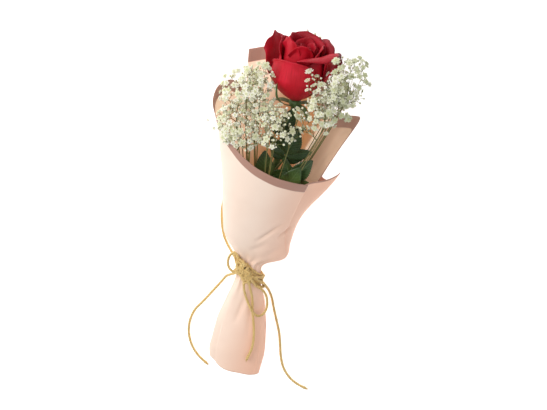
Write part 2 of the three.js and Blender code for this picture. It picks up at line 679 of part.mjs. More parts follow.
// The knot on top is a three-lobed turn of the same twine, drawn long along its slant.
const KNOT_MIDDLE = vec(-5.5, 0.5, 31);
function knot() {
  const geometry = new THREE.TorusKnotGeometry(3.6, TWINE_RADIUS * 0.92, 26, 6, 2, 3);
  geometry.scale(1, 1.5, 0.92);
  geometry.rotateZ(radians(38));
  return geometry.translate(...KNOT_MIDDLE.toArray());
}

// Each route is chosen by hand, from the knot or the binding to the free end or back to the knot.
const CORD_ROUTES = {
  twine_tail_left: [
    vec(-13.6, -4, 22.4), vec(-17.2, -8, 15.4), vec(-20.5, -13, 7), vec(-24.5, -21, 2.2),
    vec(-30.5, -31, 1.4), vec(-38, -43, 1.4), vec(-43.4, -51, 1.4), vec(-46.3, -60, 1.4),
    vec(-46.8, -70, 1.4), vec(-44.6, -80, 1.4), vec(-39.6, -89.5, 1.4), vec(-32.5, -97, 1.4),
    vec(-24.5, -102.5, 1.4),
  ],
  twine_tail_right: [
    vec(14, -8, 22), vec(17.3, -13.5, 14), vec(20.5, -19.5, 6), vec(24.4, -27.5, 1.8),
    vec(28.2, -38, 1.4), vec(32.6, -49, 1.4), vec(36.8, -60, 1.4), vec(39.6, -71, 1.4),
    vec(42.4, -83, 1.4), vec(47, -94, 1.4), vec(54.5, -102.5, 1.4), vec(62.5, -107.2, 1.4),
    vec(71, -110, 1.4),
  ],
  twine_tail_middle: [
    vec(3, -12.5, 29.2), vec(5.2, -18, 27.4), vec(7.2, -25, 25.9), vec(8.6, -33, 25.2),
    vec(10.4, -41, 25.2), vec(12.6, -50, 25.2), vec(14.2, -60, 25.4), vec(14.4, -70, 25.7),
    vec(11.4, -82, 26.6),
  ],
  twine_tail_upper: [
    vec(-13.5, 7, 15.3), vec(-18.6, 11.2, 8.5), vec(-24.2, 16.5, 3), vec(-28.6, 23.5, 1.6),
    vec(-31.6, 32, 1.4), vec(-33.6, 41, 1.4), vec(-34.6, 50, 1.4), vec(-34.2, 58, 1.4),
  ],
  twine_loop_long: [
    vec(-3.2, -9.4, 28.8), vec(-1.8, -16, 27.6), vec(1, -22.5, 27.2), vec(4.8, -29, 28.2),
    vec(9, -34.5, 29), vec(13.8, -38.4, 27.2), vec(18.4, -38, 22.8), vec(21, -33, 20.8),
    vec(20.7, -25.5, 20.8), vec(18, -18, 23), vec(13.2, -12.8, 25.8), vec(8, -10.4, 27.6),
  ],
  twine_loop_short: [
    vec(-11.2, -0.6, 25.5), vec(-15.6, -1, 25), vec(-19, 1.8, 24.2), vec(-20.6, 7.5, 24),
    vec(-19.4, 13.5, 25), vec(-16.2, 16.6, 26.4), vec(-13, 15, 28), vec(-11.6, 10.6, 29.4),
  ],
};

function cord(points) {
  const curve = new THREE.CatmullRomCurve3(points, false, 'centripetal');
  const steps = Math.round(curve.getLength() / (3 * TWINE_DIAMETER));
  return tubeAlong(points, TWINE_RADIUS, TWINE_SIDES, steps);
}

// ---- putting it together ----
addPiece('wrap_outer_sheet', outerSheet(), PAPER);
addPiece('wrap_inner_sheet', innerSheet(), PAPER_INSIDE);
addPiece('rose_bloom', bloom(), ROSE_RED);
addPiece('rose_stem', roseStem(), LEAF_GREEN);
keepClearOfBloom();
claimSprayStems();
SPRAYS.forEach((spray, index) => buildSpray(spray, 11 + index));
addPiece('twine_binding', binding(), TWINE_GOLD);
addPiece('twine_knot', knot(), TWINE_GOLD);
for (const [name, points] of Object.entries(CORD_ROUTES)) addPiece(name, cord(points), TWINE_GOLD);

export default bouquet;
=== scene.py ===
"""A single red rose with baby's breath, wrapped in bordered florist's paper and tied with golden twine.

The bouquet lies on its back: +Y runs towards the bloom, +X to its right and +Z up from the table. Places are
given in millimetres from the tie, as in the part's own source, and at() turns them into the frame's metres.
"""

import math
import random

import bpy
import mathutils
from mathutils import Matrix, Vector
from mathutils.bvhtree import BVHTree
from mathutils.geometry import interpolate_bezier


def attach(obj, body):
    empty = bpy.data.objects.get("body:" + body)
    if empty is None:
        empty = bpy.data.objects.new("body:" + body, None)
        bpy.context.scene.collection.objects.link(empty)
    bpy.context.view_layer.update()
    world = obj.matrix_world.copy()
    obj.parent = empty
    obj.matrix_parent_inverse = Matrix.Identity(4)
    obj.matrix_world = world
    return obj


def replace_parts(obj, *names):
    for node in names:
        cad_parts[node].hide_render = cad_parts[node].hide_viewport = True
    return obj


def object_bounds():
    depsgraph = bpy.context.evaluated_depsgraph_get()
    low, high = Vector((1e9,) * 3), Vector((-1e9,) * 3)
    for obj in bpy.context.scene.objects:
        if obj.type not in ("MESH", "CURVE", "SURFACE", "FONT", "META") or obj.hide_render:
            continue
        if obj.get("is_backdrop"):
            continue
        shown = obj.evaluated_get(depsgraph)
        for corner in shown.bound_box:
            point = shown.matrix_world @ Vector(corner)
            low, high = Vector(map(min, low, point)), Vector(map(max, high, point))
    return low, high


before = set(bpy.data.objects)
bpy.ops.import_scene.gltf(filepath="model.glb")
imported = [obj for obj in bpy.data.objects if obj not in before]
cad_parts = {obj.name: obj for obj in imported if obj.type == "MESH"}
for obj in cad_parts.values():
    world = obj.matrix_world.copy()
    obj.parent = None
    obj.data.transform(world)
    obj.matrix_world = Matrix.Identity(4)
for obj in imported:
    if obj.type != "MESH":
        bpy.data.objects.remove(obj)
cad_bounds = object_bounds()

# ---- the camera ----
# The bouquet lies on its back and the camera looks down on it, a little from beyond the bloom, so that the
# bloom shows its side and part of its opening. The picture is turned, as the bouquet is in the photograph.
MM = 0.001
TIE_Y = -70 * MM
PHOTO_WIDTH = 547
PIXEL = 0.9 * MM  # what one pixel of the photograph covers at the tie
VIEW_TILT = math.radians(15)
VIEW_ROLL = math.radians(10)
VIEW_DISTANCE = 1.3
VIEW_MIDDLE = Vector((11.1, -7.2, 12)) * MM
SENSOR_WIDTH = 36.0


def at(x, y, z):
    """A place given in millimetres from the tie, in the frame's metres."""
    return Vector((x * MM, TIE_Y + y * MM, z * MM))


towards_camera = Vector((0, math.sin(VIEW_TILT), math.cos(VIEW_TILT)))
along_view = Vector((0, math.cos(VIEW_TILT), -math.sin(VIEW_TILT)))
view_right = Vector((math.cos(VIEW_ROLL), 0, 0)) + along_view * math.sin(VIEW_ROLL)
view_up = Vector((-math.sin(VIEW_ROLL), 0, 0)) + along_view * math.cos(VIEW_ROLL)
camera_data = bpy.data.cameras.new("photo_camera")
camera_data.sensor_width = SENSOR_WIDTH
camera_data.lens = SENSOR_WIDTH * VIEW_DISTANCE / (PHOTO_WIDTH * PIXEL)
camera = bpy.data.objects.new("photo_camera", camera_data)
view_turn = Matrix((view_right, view_up, towards_camera)).transposed().to_4x4()
camera.matrix_world = Matrix.Translation(VIEW_MIDDLE + towards_camera * VIEW_DISTANCE) @ view_turn
bpy.context.scene.collection.objects.link(camera)
bpy.context.scene.camera = camera

# ---- the twine's tails and loops ----
# Golden straw-coloured twine of three twisted plies, 2.6 mm thick, as the photograph scales. Four tails leave
# the knot and the binding and lie along the table or the skirt, and two loops of the bow hang from the knot.
TWINE_DIAMETER = 2.6 * MM
TWINE_PITCH = 7 * MM  # one full turn of the plies
PLY_GROOVE = 0.26  # how deep the plies' grooves are, as a share of the radius
LINE_STEP = 0.9 * MM
TWINE_SIDES = 18
END_GIRTHS = (1.0, 1.16, 1.2, 1.12)  # a tail's last points swell where its plies open, from the tip back
FIBRE_COUNT = 9
FIBRE_GIRTHS = (0.2, 0.15, 0.08)

CORD_ROUTES = {
    "twine_tail_left": [
        (-13.6, -4, 22.4), (-17.2, -8, 15.4), (-20.5, -13, 7), (-24.5, -21, 2.2), (-30.5, -31, 1.4),
        (-38, -43, 1.4), (-43.4, -51, 1.4), (-46.3, -60, 1.4), (-46.8, -70, 1.4), (-44.6, -80, 1.4),
        (-39.6, -89.5, 1.4), (-32.5, -97, 1.4), (-24.5, -102.5, 1.4),
    ],
    "twine_tail_right": [
        (14, -8, 22), (17.3, -13.5, 14), (20.5, -19.5, 6), (24.4, -27.5, 1.8), (28.2, -38, 1.4),
        (32.6, -49, 1.4), (36.8, -60, 1.4), (39.6, -71, 1.4), (42.4, -83, 1.4), (47, -94, 1.4),
        (54.5, -102.5, 1.4), (62.5, -107.2, 1.4), (71, -110, 1.4),
    ],
    "twine_tail_middle": [
        (3, -12.5, 29.2), (5.2, -18, 27.4), (7.2, -25, 25.9), (8.6, -33, 25.2), (10.4, -41, 25.2),
        (12.6, -50, 25.2), (14.2, -60, 25.4), (14.4, -70, 25.7), (11.4, -82, 26.6),
    ],
    "twine_tail_upper": [
        (-13.5, 7, 15.3), (-18.6, 11.2, 8.5), (-24.2, 16.5, 3), (-28.6, 23.5, 1.6), (-31.6, 32, 1.4),
        (-33.6, 41, 1.4), (-34.6, 50, 1.4), (-34.2, 58, 1.4),
    ],
    "twine_loop_long": [
        (-3.2, -9.4, 28.8), (-1.8, -16, 27.6), (1, -22.5, 27.2), (4.8, -29, 28.2), (9, -34.5, 29),
        (13.8, -38.4, 27.2), (18.4, -38, 22.8), (21, -33, 20.8), (20.7, -25.5, 20.8), (18, -18, 23),
        (13.2, -12.8, 25.8), (8, -10.4, 27.6),
    ],
    "twine_loop_short": [
        (-11.2, -0.6, 25.5), (-15.6, -1, 25), (-19, 1.8, 24.2), (-20.6, 7.5, 24), (-19.4, 13.5, 25),
        (-16.2, 16.6, 26.4), (-13, 15, 28), (-11.6, 10.6, 29.4),
    ],
}


def smooth_route(points, step=LINE_STEP):
    """A centripetal curve through the points, as the part's own tubes follow it, at even steps."""
    ends = [2 * points[0] - points[1], *points, 2 * points[-1] - points[-2]]
    line = [points[0]]
    for before, start, stop, after in zip(ends, ends[1:], ends[2:], ends[3:]):
        gaps = [(b - a).length ** 0.5 for a, b in ((before, start), (start, stop), (stop, after))]
        leave = (start - before) / gaps[0] - (stop - before) / (gaps[0] + gaps[1]) + (stop - start) / gaps[1]
        reach = (stop - start) / gaps[1] - (after - start) / (gaps[1] + gaps[2]) + (after - stop) / gaps[2]
        steps = max(2, round((stop - start).length / step))
        handles = (start + leave * gaps[1] / 3, stop - reach * gaps[1] / 3)
        line.extend(interpolate_bezier(start, *handles, stop, steps + 1)[1:])
    return line


def add_node(tree, kind, inputs=None, **settings):
    """Adds a node. Each input is given a value, or another node's output socket to read."""
    made = tree.nodes.new(kind)
    for name, value in settings.items():
        setattr(made, name, value)
    for key, value in (inputs or {}).items():
        if isinstance(value, bpy.types.NodeSocket):
            tree.links.new(value, made.inputs[key])
        else:
            made.inputs[key].default_value = value
    return made


def calculate(tree, operation, *values):
    """One Math node's output."""
    return add_node(tree, "ShaderNodeMath", dict(enumerate(values)), operation=operation).outputs[0]


def times(tree, first, second):
    """The product of two values."""
    return calculate(tree, "MULTIPLY", first, second)


def new_tree(name, inputs):
    """A Geometry Nodes tree with one geometry in and one out, and the named inputs."""
    tree = bpy.data.node_groups.new(name, "GeometryNodeTree")
    tree.interface.new_socket("Geometry", in_out="INPUT", socket_type="NodeSocketGeometry")
    for socket, kind in inputs.items():
        tree.interface.new_socket(socket, in_out="INPUT", socket_type="NodeSocket" + kind)
    tree.interface.new_socket("Geometry", in_out="OUTPUT", socket_type="NodeSocketGeometry")
    return tree, tree.nodes.new("NodeGroupInput").outputs


def end_tree(tree, geometry, material):
    """Every tree ends in plain geometry of one material."""
    real = add_node(tree, "GeometryNodeRealizeInstances", {"Geometry": geometry}).outputs[0]
    painted = add_node(tree, "GeometryNodeSetMaterial", {"Geometry": real, "Material": material})
    add_node(tree, "NodeGroupOutput", {0: painted.outputs[0]})


def new_object(name, mesh):
    """An object of the scene for a mesh."""
    piece = bpy.data.objects.new(name, mesh)
    bpy.context.scene.collection.objects.link(piece)
    return piece


def make_plain(piece):
    """Turns what a piece's modifier makes into the piece's own mesh."""
    evaluated = piece.evaluated_get(bpy.context.evaluated_depsgraph_get())
    grown = bpy.data.meshes.new_from_object(evaluated)
    piece.modifiers.clear()
    piece.data = grown
    grown.name = piece.name


def new_mesh(name, points, edges, faces, **values):
    """A mesh, with a number for each point kept under each of the given names."""
    mesh = bpy.data.meshes.new(name)
    mesh.from_pydata(points, edges, faces)
    for value_name, numbers in values.items():
        mesh.attributes.new(value_name, "FLOAT", "POINT").data.foreach_set("value", numbers)
    return mesh


def grow(name, mesh, tree, values):
    """Runs a tree over a mesh and returns the result as an object with a plain mesh."""
    piece = new_object(name, mesh)
    modifier = piece.modifiers.new(tree.name, "NODES")
    modifier.node_group = tree
    for item in tree.interface.items_tree:
        if item.in_out == "INPUT" and item.name in values:
            modifier[item.identifier] = values[item.name]
    make_plain(piece)
    return piece


def strand_mesh(name, lines, thickness):
    """A mesh of bare lines, with each point's thickness as an attribute."""
    points = [point for line in lines for point in line]
    edges = []
    start = 0
    for line in lines:
        edges.extend((start + k, start + k + 1) for k in range(len(line) - 1))
        start += len(line)
    return new_mesh(name, points, edges, [], thickness=thickness)


def named_value(tree, name, kind="FLOAT"):
    """Reads an attribute of the geometry that a tree works on."""
    return add_node(tree, "GeometryNodeInputNamedAttribute", {"Name": name}, data_type=kind).outputs[0]


def stored(tree, geometry, name, value):
    """Keeps a value as an attribute, for the material."""
    inputs = {"Geometry": geometry, "Name": name, "Value": value}
    kept = add_node(tree, "GeometryNodeStoreNamedAttribute", inputs, data_type="FLOAT", domain="POINT")
    return kept.outputs[0]


def tube_nodes(tree, curve, profile):
    """Sweeps the profile along the curve, scaled by the thickness attribute."""
    thickness = named_value(tree, "thickness")
    inputs = {"Curve": curve, "Profile Curve": profile, "Scale": thickness, "Fill Caps": True}
    return add_node(tree, "GeometryNodeCurveToMesh", inputs).outputs[0]


def twine_tree():
    """Sweeps a section of rounded plies along each line, turning it as it goes."""
    inputs = {"Diameter": "Float", "Pitch": "Float", "Plies": "Int", "Groove": "Float",
              "Material": "Material"}
    tree, given = new_tree("twisted_twine", inputs)
    curve = add_node(tree, "GeometryNodeMeshToCurve", {"Mesh": given["Geometry"]}).outputs[0]
    length = tree.nodes.new("GeometryNodeSplineParameter").outputs["Length"]
    turn = times(tree, calculate(tree, "DIVIDE", length, given["Pitch"]), math.tau)
    curve = add_node(tree, "GeometryNodeSetCurveTilt", {"Curve": curve, "Tilt": turn}).outputs[0]
    curve = stored(tree, curve, "along", length)
    radius = times(tree, given["Diameter"], 0.5)
    circle = add_node(tree, "GeometryNodeCurvePrimitiveCircle", {"Resolution": TWINE_SIDES, "Radius": radius})
    index = tree.nodes.new("GeometryNodeInputIndex").outputs[0]
    angle = times(tree, index, math.tau / TWINE_SIDES)
    half_turns = times(tree, times(tree, angle, given["Plies"]), 0.5)
    crest = calculate(tree, "ABSOLUTE", calculate(tree, "COSINE", half_turns))
    sunk = times(tree, given["Groove"], calculate(tree, "SUBTRACT", 1.0, crest))
    share = calculate(tree, "SUBTRACT", 1.0, sunk)
    place = tree.nodes.new("GeometryNodeInputPosition").outputs[0]
    scaled = add_node(tree, "ShaderNodeVectorMath", {0: place, "Scale": share}, operation="SCALE").outputs[0]
    profile = add_node(tree, "GeometryNodeSetPosition", {"Geometry": circle.outputs[0], "Position": scaled})
    profile = stored(tree, profile.outputs[0], "crest", crest)
    profile = stored(tree, profile, "side", calculate(tree, "SINE", angle))
    end_tree(tree, tube_nodes(tree, curve, profile), given["Material"])
    return tree


def noise(tree, place, scale, detail, roughness=0.5):
    """Soft noise over a place."""
    inputs = {"Vector": place, "Scale": scale, "Detail": detail, "Roughness": roughness}
    return add_node(tree, "ShaderNodeTexNoise", inputs).outputs[0]


def object_place(tree):
    """The place on a piece, in metres."""
    return tree.nodes.new("ShaderNodeTexCoord").outputs["Object"]


def fibres_group():
    """Fine fibres and slow changes of tone, for paper and twine. Tone and Height run from 0 to 1."""
    group = bpy.data.node_groups.new("fibres", "ShaderNodeTree")
    sockets = {"Vector": "Vector", "Fibre Scale": "Float", "Tone Scale": "Float"}
    for name, kind in sockets.items():
        group.interface.new_socket(name, in_out="INPUT", socket_type="NodeSocket" + kind)
    for name in ("Tone", "Height"):
        group.interface.new_socket(name, in_out="OUTPUT", socket_type="NodeSocketFloat")
    given = group.nodes.new("NodeGroupInput").outputs
    tone = noise(group, given["Vector"], given["Tone Scale"], 3.0, 0.55)
    height = noise(group, given["Vector"], given["Fibre Scale"], 4.0, 0.65)
    add_node(group, "NodeGroupOutput", {"Tone": tone, "Height": height})
    return group


def new_material(name, roughness, **constants):
    """A material with its Principled shader's constants set on the shader's own sockets."""
    material = bpy.data.materials.new(name)
    material.use_nodes = True
    tree = material.node_tree
    tree.nodes.clear()
    shader = add_node(tree, "ShaderNodeBsdfPrincipled", {"Roughness": roughness})
    for socket, value in constants.items():
        shader.inputs[socket.replace("_", " ")].default_value = value
    add_node(tree, "ShaderNodeOutputMaterial", {"Surface": shader.outputs[0]})
    return material, tree, shader


def blend(tree, share, first, second):
    """Mixes two colours by a share."""
    inputs = {"Factor": share, 6: first, 7: second}
    return add_node(tree, "ShaderNodeMix", inputs, data_type="RGBA").outputs[2]


def share_between(tree, value, low, high, to_low=0.0, to_high=1.0):
    """Maps a value smoothly from one range to another, and holds it at both ends."""
    inputs = {"Value": value, "From Min": low, "From Max": high, "To Min": to_low, "To Max": to_high}
    return add_node(tree, "ShaderNodeMapRange", inputs, interpolation_type="SMOOTHSTEP").outputs[0]


def bump(tree, shader, height, distance, strength=1.0):
    """Roughens the shader's normal."""
    inputs = {"Height": height, "Distance": distance, "Strength": strength}
    tree.links.new(add_node(tree, "ShaderNodeBump", inputs).outputs[0], shader.inputs["Normal"])


def piece_attribute(tree, name):
    """A value that the piece's own mesh carries."""
    return add_node(tree, "ShaderNodeAttribute", attribute_name=name).outputs["Fac"]


FIBRES = fibres_group()


def fibres_over(tree, place, fibre_scale, tone_scale):
    """The fibres' tone and height over a place."""
    inputs = {"Vector": place, "Fibre Scale": fibre_scale, "Tone Scale": tone_scale}
    return add_node(tree, "ShaderNodeGroup", inputs, node_tree=FIBRES).outputs


def twine_material():
    """Straw fibres that run along the plies, with painted shade in the grooves between the plies."""
    material, tree, shader = new_material("straw_twine", 0.72, Sheen_Weight=0.25, Sheen_Roughness=0.5)
    along = times(tree, piece_attribute(tree, "along"), 60.0)
    side = times(tree, piece_attribute(tree, "side"), 3.0)
    crest = piece_attribute(tree, "crest")
    lane = add_node(tree, "ShaderNodeCombineXYZ", {0: along, 1: side, 2: crest}).outputs[0]
    tone, height = fibres_over(tree, lane, 9.0, 1.3)
    straw = blend(tree, share_between(tree, tone, 0.35, 0.68), (0.77, 0.49, 0.13, 1), (0.92, 0.68, 0.28, 1))
    streaked = blend(tree, share_between(tree, height, 0.4, 0.75, 0.0, 0.5), straw, (0.95, 0.80, 0.50, 1))
    # Painted shade: the grooves between the plies are darkened.
    groove_shade = share_between(tree, crest, 0.05, 0.5, 0.70, 0.0)
    tree.links.new(blend(tree, groove_shade, streaked, (0.26, 0.15, 0.035, 1)), shader.inputs["Base Color"])
    bump(tree, shader, height, 0.25 * MM, 0.8)
    return material


TWINE_TREE = twine_tree()
TWINE = twine_material()


def twine_piece(name, lines, thickness):
    """One piece of twine from its lines and each point's thickness, as a share of the diameter."""
    values = {"Diameter": TWINE_DIAMETER, "Pitch": TWINE_PITCH, "Plies": 3, "Groove": PLY_GROOVE,
              "Material": TWINE}
    piece = grow(name, strand_mesh(name, lines, thickness), TWINE_TREE, values)
    piece.data.shade_smooth()
    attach(piece, "root")
    return piece


def frayed_end(line, rng):
    """A few loose fibres that spread from a cut end, each a line of its own."""
    tip = line[-1]
    ahead = (tip - line[-4]).normalized()
    side = ahead.cross(Vector((0, 0, 1))).normalized()
    lines = []
    for _ in range(FIBRE_COUNT):
        spread = side * rng.uniform(-0.55, 0.55) + Vector((0, 0, rng.uniform(-0.1, 0.45)))
        start = tip + side * rng.uniform(-0.5, 0.5) * MM - ahead * 1.2 * MM
        reach = rng.uniform(1.6, 3.2) * MM
        middle = start + (ahead + spread * 0.4) * reach * 0.6
        lines.append([start, middle, start + (ahead + spread).normalized() * reach * 1.25])
    return lines


fray_rng = random.Random(5)
for cord_name, route in CORD_ROUTES.items():
    line = smooth_route([at(*point) for point in route])
    is_tail = "tail" in cord_name
    count = len(line)
    thickness = [1.0 + 0.07 * math.sin(0.9 * k) * math.sin(0.23 * k + 1) for k in range(count)]
    lines = [line]
    if is_tail:
        for k, girth in enumerate(END_GIRTHS):
            thickness[count - 1 - k] *= girth
        for fibre in frayed_end(line, fray_rng):
            lines.append(fibre)
            thickness.extend(FIBRE_GIRTHS)
    cord = twine_piece(cord_name.replace("twine_", "cord_"), lines, thickness)
    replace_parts(cord, cord_name)
    tuple(line[0])
    [tuple(point) for point in line]

# ---- the binding and the knot ----
# The same twine goes round the gathered paper in untidy turns on a slant, and is drawn into a thick knot
# that runs down to the right across the front, where the tails and the bow's loops come out of it.
# WRAP_SECTIONS has an oval section of the wrap at each y along it: its left, right, top and bottom.
WRAP_SECTIONS = (
    (-103, -20, 25, 24, 0), (-80, -25, 27.5, 26, -2), (-50, -22, 25, 25, -2), (-28, -16.5, 19.5, 24, 1),
    (-10, -11, 11.5, 24.4, 4.4), (0, -10, 10, 24.6, 4.6), (8, -11, 11, 24.8, 4.2), (11, -13.4, 18, 26, 1.5),
    (15, -17, 29, 29, 0), (21, -22.5, 33.5, 32.5, -1.6), (32, -29.6, 33, 38, -4), (50, -33, 35, 47, -6),
    (75, -37, 42, 58, -6), (100, -42, 50, 66, -6), (125, -48, 58, 71, -6), (150, -57, 67, 76, -6),
    (175, -62, 75, 78, -6), (220, -68, 82, 80, -6),
)
WRAP_EASING = 2.6  # how far the corners between sections are rounded off
NECK_EASING = 1.0  # the same for the twine round the neck, which fits it more closely
BINDING_TURNS = 5
BINDING_PITCH = 2.3  # the turns press together, so they lie closer than the twine is thick
BINDING_SLANT = 9.5  # how far the turns climb from the neck's middle to its left side
BINDING_STEPS = 24  # points to a turn
BINDING_CLEARANCE = 1.7  # from the paper's section to the middle of the twine
# Two turns cross the others: each from one angle to another, and from one y to another.
BINDING_CROSSINGS = ((-25, 195, -4, -2), (-15, 205, -14, 12))
LOWEST_TWINE = 1.35
KNOT_MIDDLE = (-4.5, 1.5, 30.4)
KNOT_TURNS = 7
KNOT_STEPS = 12  # points to a turn
# The strands that run through the knot: places along it, aside and up, and how each is turned and moved.
KNOT_CORE = ((-12, 0.9, -1.4), (-7.5, -1.4, 1.6), (-3, 1.8, 2.9), (1.5, -1.6, 3.1), (6, 1.2, 2.2),
             (12, -0.8, -1.4))
KNOT_STRANDS = ((1, 0, 0), (-1, 1.4, 0.6), (1, -2.4, -0.5))
# Where the tails and loops go on into the knot.
KNOT_LEADS = (
    ((3, -12.5, 29.2), (1.6, -8, 31), (-1, -3, 32.6)),
    ((8, -10.4, 27.6), (5, -6.6, 29.6), (0, -2, 32)),
    ((-3.2, -9.4, 28.8), (-3.8, -5, 31), (-4, 0, 32.6)),
    ((-13.6, -4, 22.4), (-11.6, -2, 26.6), (-7.5, 0.5, 31)),
    ((-11.6, 10.6, 29.4), (-10.4, 7.4, 30.6), (-7, 3, 32)),
)
BINDING_GIRTH = 0.94  # pulled tight, the twine is a little thinner


def lerp(a, b, share):
    """The value at a share of the way from a to b."""
    return a + (b - a) * share


def smoothstep(value, low, high):
    """0 up to low, 1 from high on, and a smooth rise between them."""
    share = min(max((value - low) / (high - low), 0), 1)
    return share * share * (3 - 2 * share)


def section_at(y, easing=WRAP_EASING):
    """The wrap's left, right, top and bottom at y, with the corners between sections rounded off."""
    def straight(where):
        for lower, upper in zip(WRAP_SECTIONS, WRAP_SECTIONS[1:]):
            if where <= upper[0]:
                break
        share = (where - lower[0]) / (upper[0] - lower[0])
        return [lerp(a, b, share) for a, b in zip(lower[1:], upper[1:])]
    rows = [straight(y + offset * easing) for offset in (-1, -0.5, 0, 0.5, 1)]
    return [sum(row[k] for row in rows) / len(rows) for k in range(4)]


def round_the_neck(angle, y, clearance):
    """A place round the neck, in millimetres from the tie."""
    left, right, top, bottom = section_at(y, NECK_EASING)
    x = (left + right) / 2 + ((right - left) / 2 + clearance) * math.cos(angle)
    z = (top + bottom) / 2 + ((top - bottom) / 2 + clearance) * math.sin(angle)
    return at(x, y, max(z, LOWEST_TWINE))


def binding_lines():
    """Slanted turns, each a little loose, and two that cross over the others at the front."""
    turns = []
    for k in range(BINDING_TURNS * BINDING_STEPS + 1):
        angle = math.tau * k / BINDING_STEPS + 1.9
        along = BINDING_PITCH * (k / BINDING_STEPS - BINDING_TURNS / 2)
        wander = 0.6 * math.sin(1.7 * angle + k * 0.31)
        y = along + 0.5 - (BINDING_SLANT + 0.8 * math.sin(0.37 * angle)) * math.cos(angle) + wander
        turns.append(round_the_neck(angle, y, BINDING_CLEARANCE + 0.45 * math.sin(2.3 * angle)))
    crossings = []
    for first, last, low, high in BINDING_CROSSINGS:
        crossing = []
        for k in range(BINDING_STEPS + 1):
            angle = math.radians(lerp(first, last, k / BINDING_STEPS))
            lift = 2.3 * math.sin(math.pi * k / BINDING_STEPS) ** 0.5
            y = lerp(low, high, k / BINDING_STEPS) + 0.6 * math.sin(5 * k / BINDING_STEPS)
            crossing.append(round_the_neck(angle, y, BINDING_CLEARANCE + lift))
        crossings.append(smooth_route(crossing))
    return [smooth_route(turns)] + crossings


def knot_lines():
    """Untidy turns round a slanting core, strands that run through them, and the tails' and loops' ends."""
    middle = at(*KNOT_MIDDLE)
    down = Vector((0.60, -0.80, -0.06)).normalized()
    across = down.cross(Vector((0, 0, 1))).normalized()
    outward = across.cross(down).normalized()
    coil = []
    for k in range(KNOT_TURNS * KNOT_STEPS + 1):
        angle = math.tau * k / KNOT_STEPS
        share = k / (KNOT_TURNS * KNOT_STEPS)
        uneven = 0.3 * math.sin(5.1 * angle)
        girth = 3.5 + 1.5 * math.sin(math.pi * share) + 0.55 * math.sin(2.2 * angle) + uneven
        along = lerp(-9.0, 9.5, share) + 1.3 * math.sin(angle + 0.6) + 0.5 * math.sin(1.37 * angle)
        coil.append(middle + (down * along + across * girth * math.cos(angle)
                              + outward * (0.60 * girth * math.sin(angle) - 0.3)) * MM)
    strands = []
    for turned, offset, lift in KNOT_STRANDS:
        strand = [middle + (down * along + across * (turned * aside + offset) + outward * (up + lift)) * MM
                  for along, aside, up in KNOT_CORE]
        strands.append(smooth_route(strand))
    for lead in KNOT_LEADS:
        strands.append(smooth_route([at(*point) for point in lead]))
    return [smooth_route(coil)] + strands


for name, node, lines in (("twine_turns", "twine_binding", binding_lines()),
                          ("twine_bow_knot", "twine_knot", knot_lines())):
    piece = twine_piece(name, lines, [BINDING_GIRTH] * sum(len(line) for line in lines))
    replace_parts(piece, node)

# ---- the wrap ----
# Two sheets of florist's paper, pale peach outside and warm tan inside, with a dusty mauve border printed
# along their rims. The outer one rolls round into a cone whose rim slants, the inner one stands tall behind
# the bloom. Both are drawn into pleats at the tie, and the outer one flares again into a skirt below it.
PAPER_THICKNESS = 0.35
BORDER_WIDTH = 7.5
SKIRT_END = -98
SKIRT_CUT = 9
INNER_SHEET_END = -56
OUTER_SPAN = {"mouth": (40, 408), "tie": (22, 380)}  # degrees round the wrap: 0 right, 90 front, 180 left
INNER_SPAN = {"mouth": (234, 372), "tie": (210, 391)}
OUTER_MOUTH_Y = 100  # where along the wrap each sheet's rim is read by its angle
INNER_MOUTH_Y = 150
OUTER_EASING = 5  # how far each rim's corners are rounded off, in degrees
INNER_EASING = 2.5
OUTER_GRID = (260, 150)
INNER_GRID = (150, 120)
FAR_CORNER_PUSH = 12
WING_PUSH = 6
WING_FOLD_SHARE = 0.5  # the share of the inner sheet's width that the wing's fold follows
WING_FOLD_HEIGHT = 11
OUTER_RIM = (
    (40, 96), (62, 98), (85, 101), (108, 107), (126, 115), (142, 124), (158, 134), (178, 148), (200, 163),
    (221, 170), (240, 158), (300, 126), (325, 101), (345, 95), (357, 100), (366, 111), (373, 108.5),
    (380, 102.5), (408, 94),
)
INNER_RIM = (
    (234, 197), (262, 208), (285, 186), (305, 160), (320, 154), (345, 158), (354, 159), (364, 154),
    (372, 151),
)


def rim_height(rim, angle, easing):
    """A rim's y at an angle. Its corners are rounded off a little, apart from a sheet's own corners."""
    def straight(where):
        where = min(max(where, rim[0][0]), rim[-1][0])
        for lower, upper in zip(rim, rim[1:]):
            if where <= upper[0]:
                break
        return lerp(lower[1], upper[1], (where - lower[0]) / (upper[0] - lower[0]))
    return sum(straight(angle + offset * easing) for offset in (-1, 0, 1)) / 3


def span_angle(span, share, y):
    """The angle at a share of a sheet's width, which closes up towards the tie."""
    gathered = 1 - smoothstep(y, 15, 42)
    first = lerp(span["mouth"][0], span["tie"][0], gathered)
    last = lerp(span["mouth"][1], span["tie"][1], gathered)
    return lerp(first, last, share)


def near_tie(y, reach):
    """1 at the tie, falling to 0 beyond its reach."""
    return math.exp(-((y / reach) ** 2))


def oval_point(angle, y):
    """A place on the wrap's oval section, in millimetres."""
    left, right, top, bottom = section_at(y)
    x = (left + right) / 2 + (right - left) / 2 * math.cos(math.radians(angle))
    z = (top + bottom) / 2 + (top - bottom) / 2 * math.sin(math.radians(angle))
    return Vector((x, y, z))


def inward_at(angle, y):
    """The direction into the wrap, square to it."""
    around = oval_point(angle + 1.5, y) - oval_point(angle - 1.5, y)
    along = oval_point(angle, y + 1.5) - oval_point(angle, y - 1.5)
    return around.cross(along).normalized()


def valley(x, y, start, stop, width):
    """How near a place is to a crease's line: 1 on it, falling to 0 at the crease's width."""
    run = Vector((stop[0] - start[0], stop[1] - start[1]))
    here = Vector((x - start[0], y - start[1]))
    share = min(max(here.dot(run) / run.length_squared, 0), 1)
    near = math.exp(-(((here - run * share).length / width) ** 2))
    return near * math.sin(math.pi * lerp(0.12, 0.95, share))


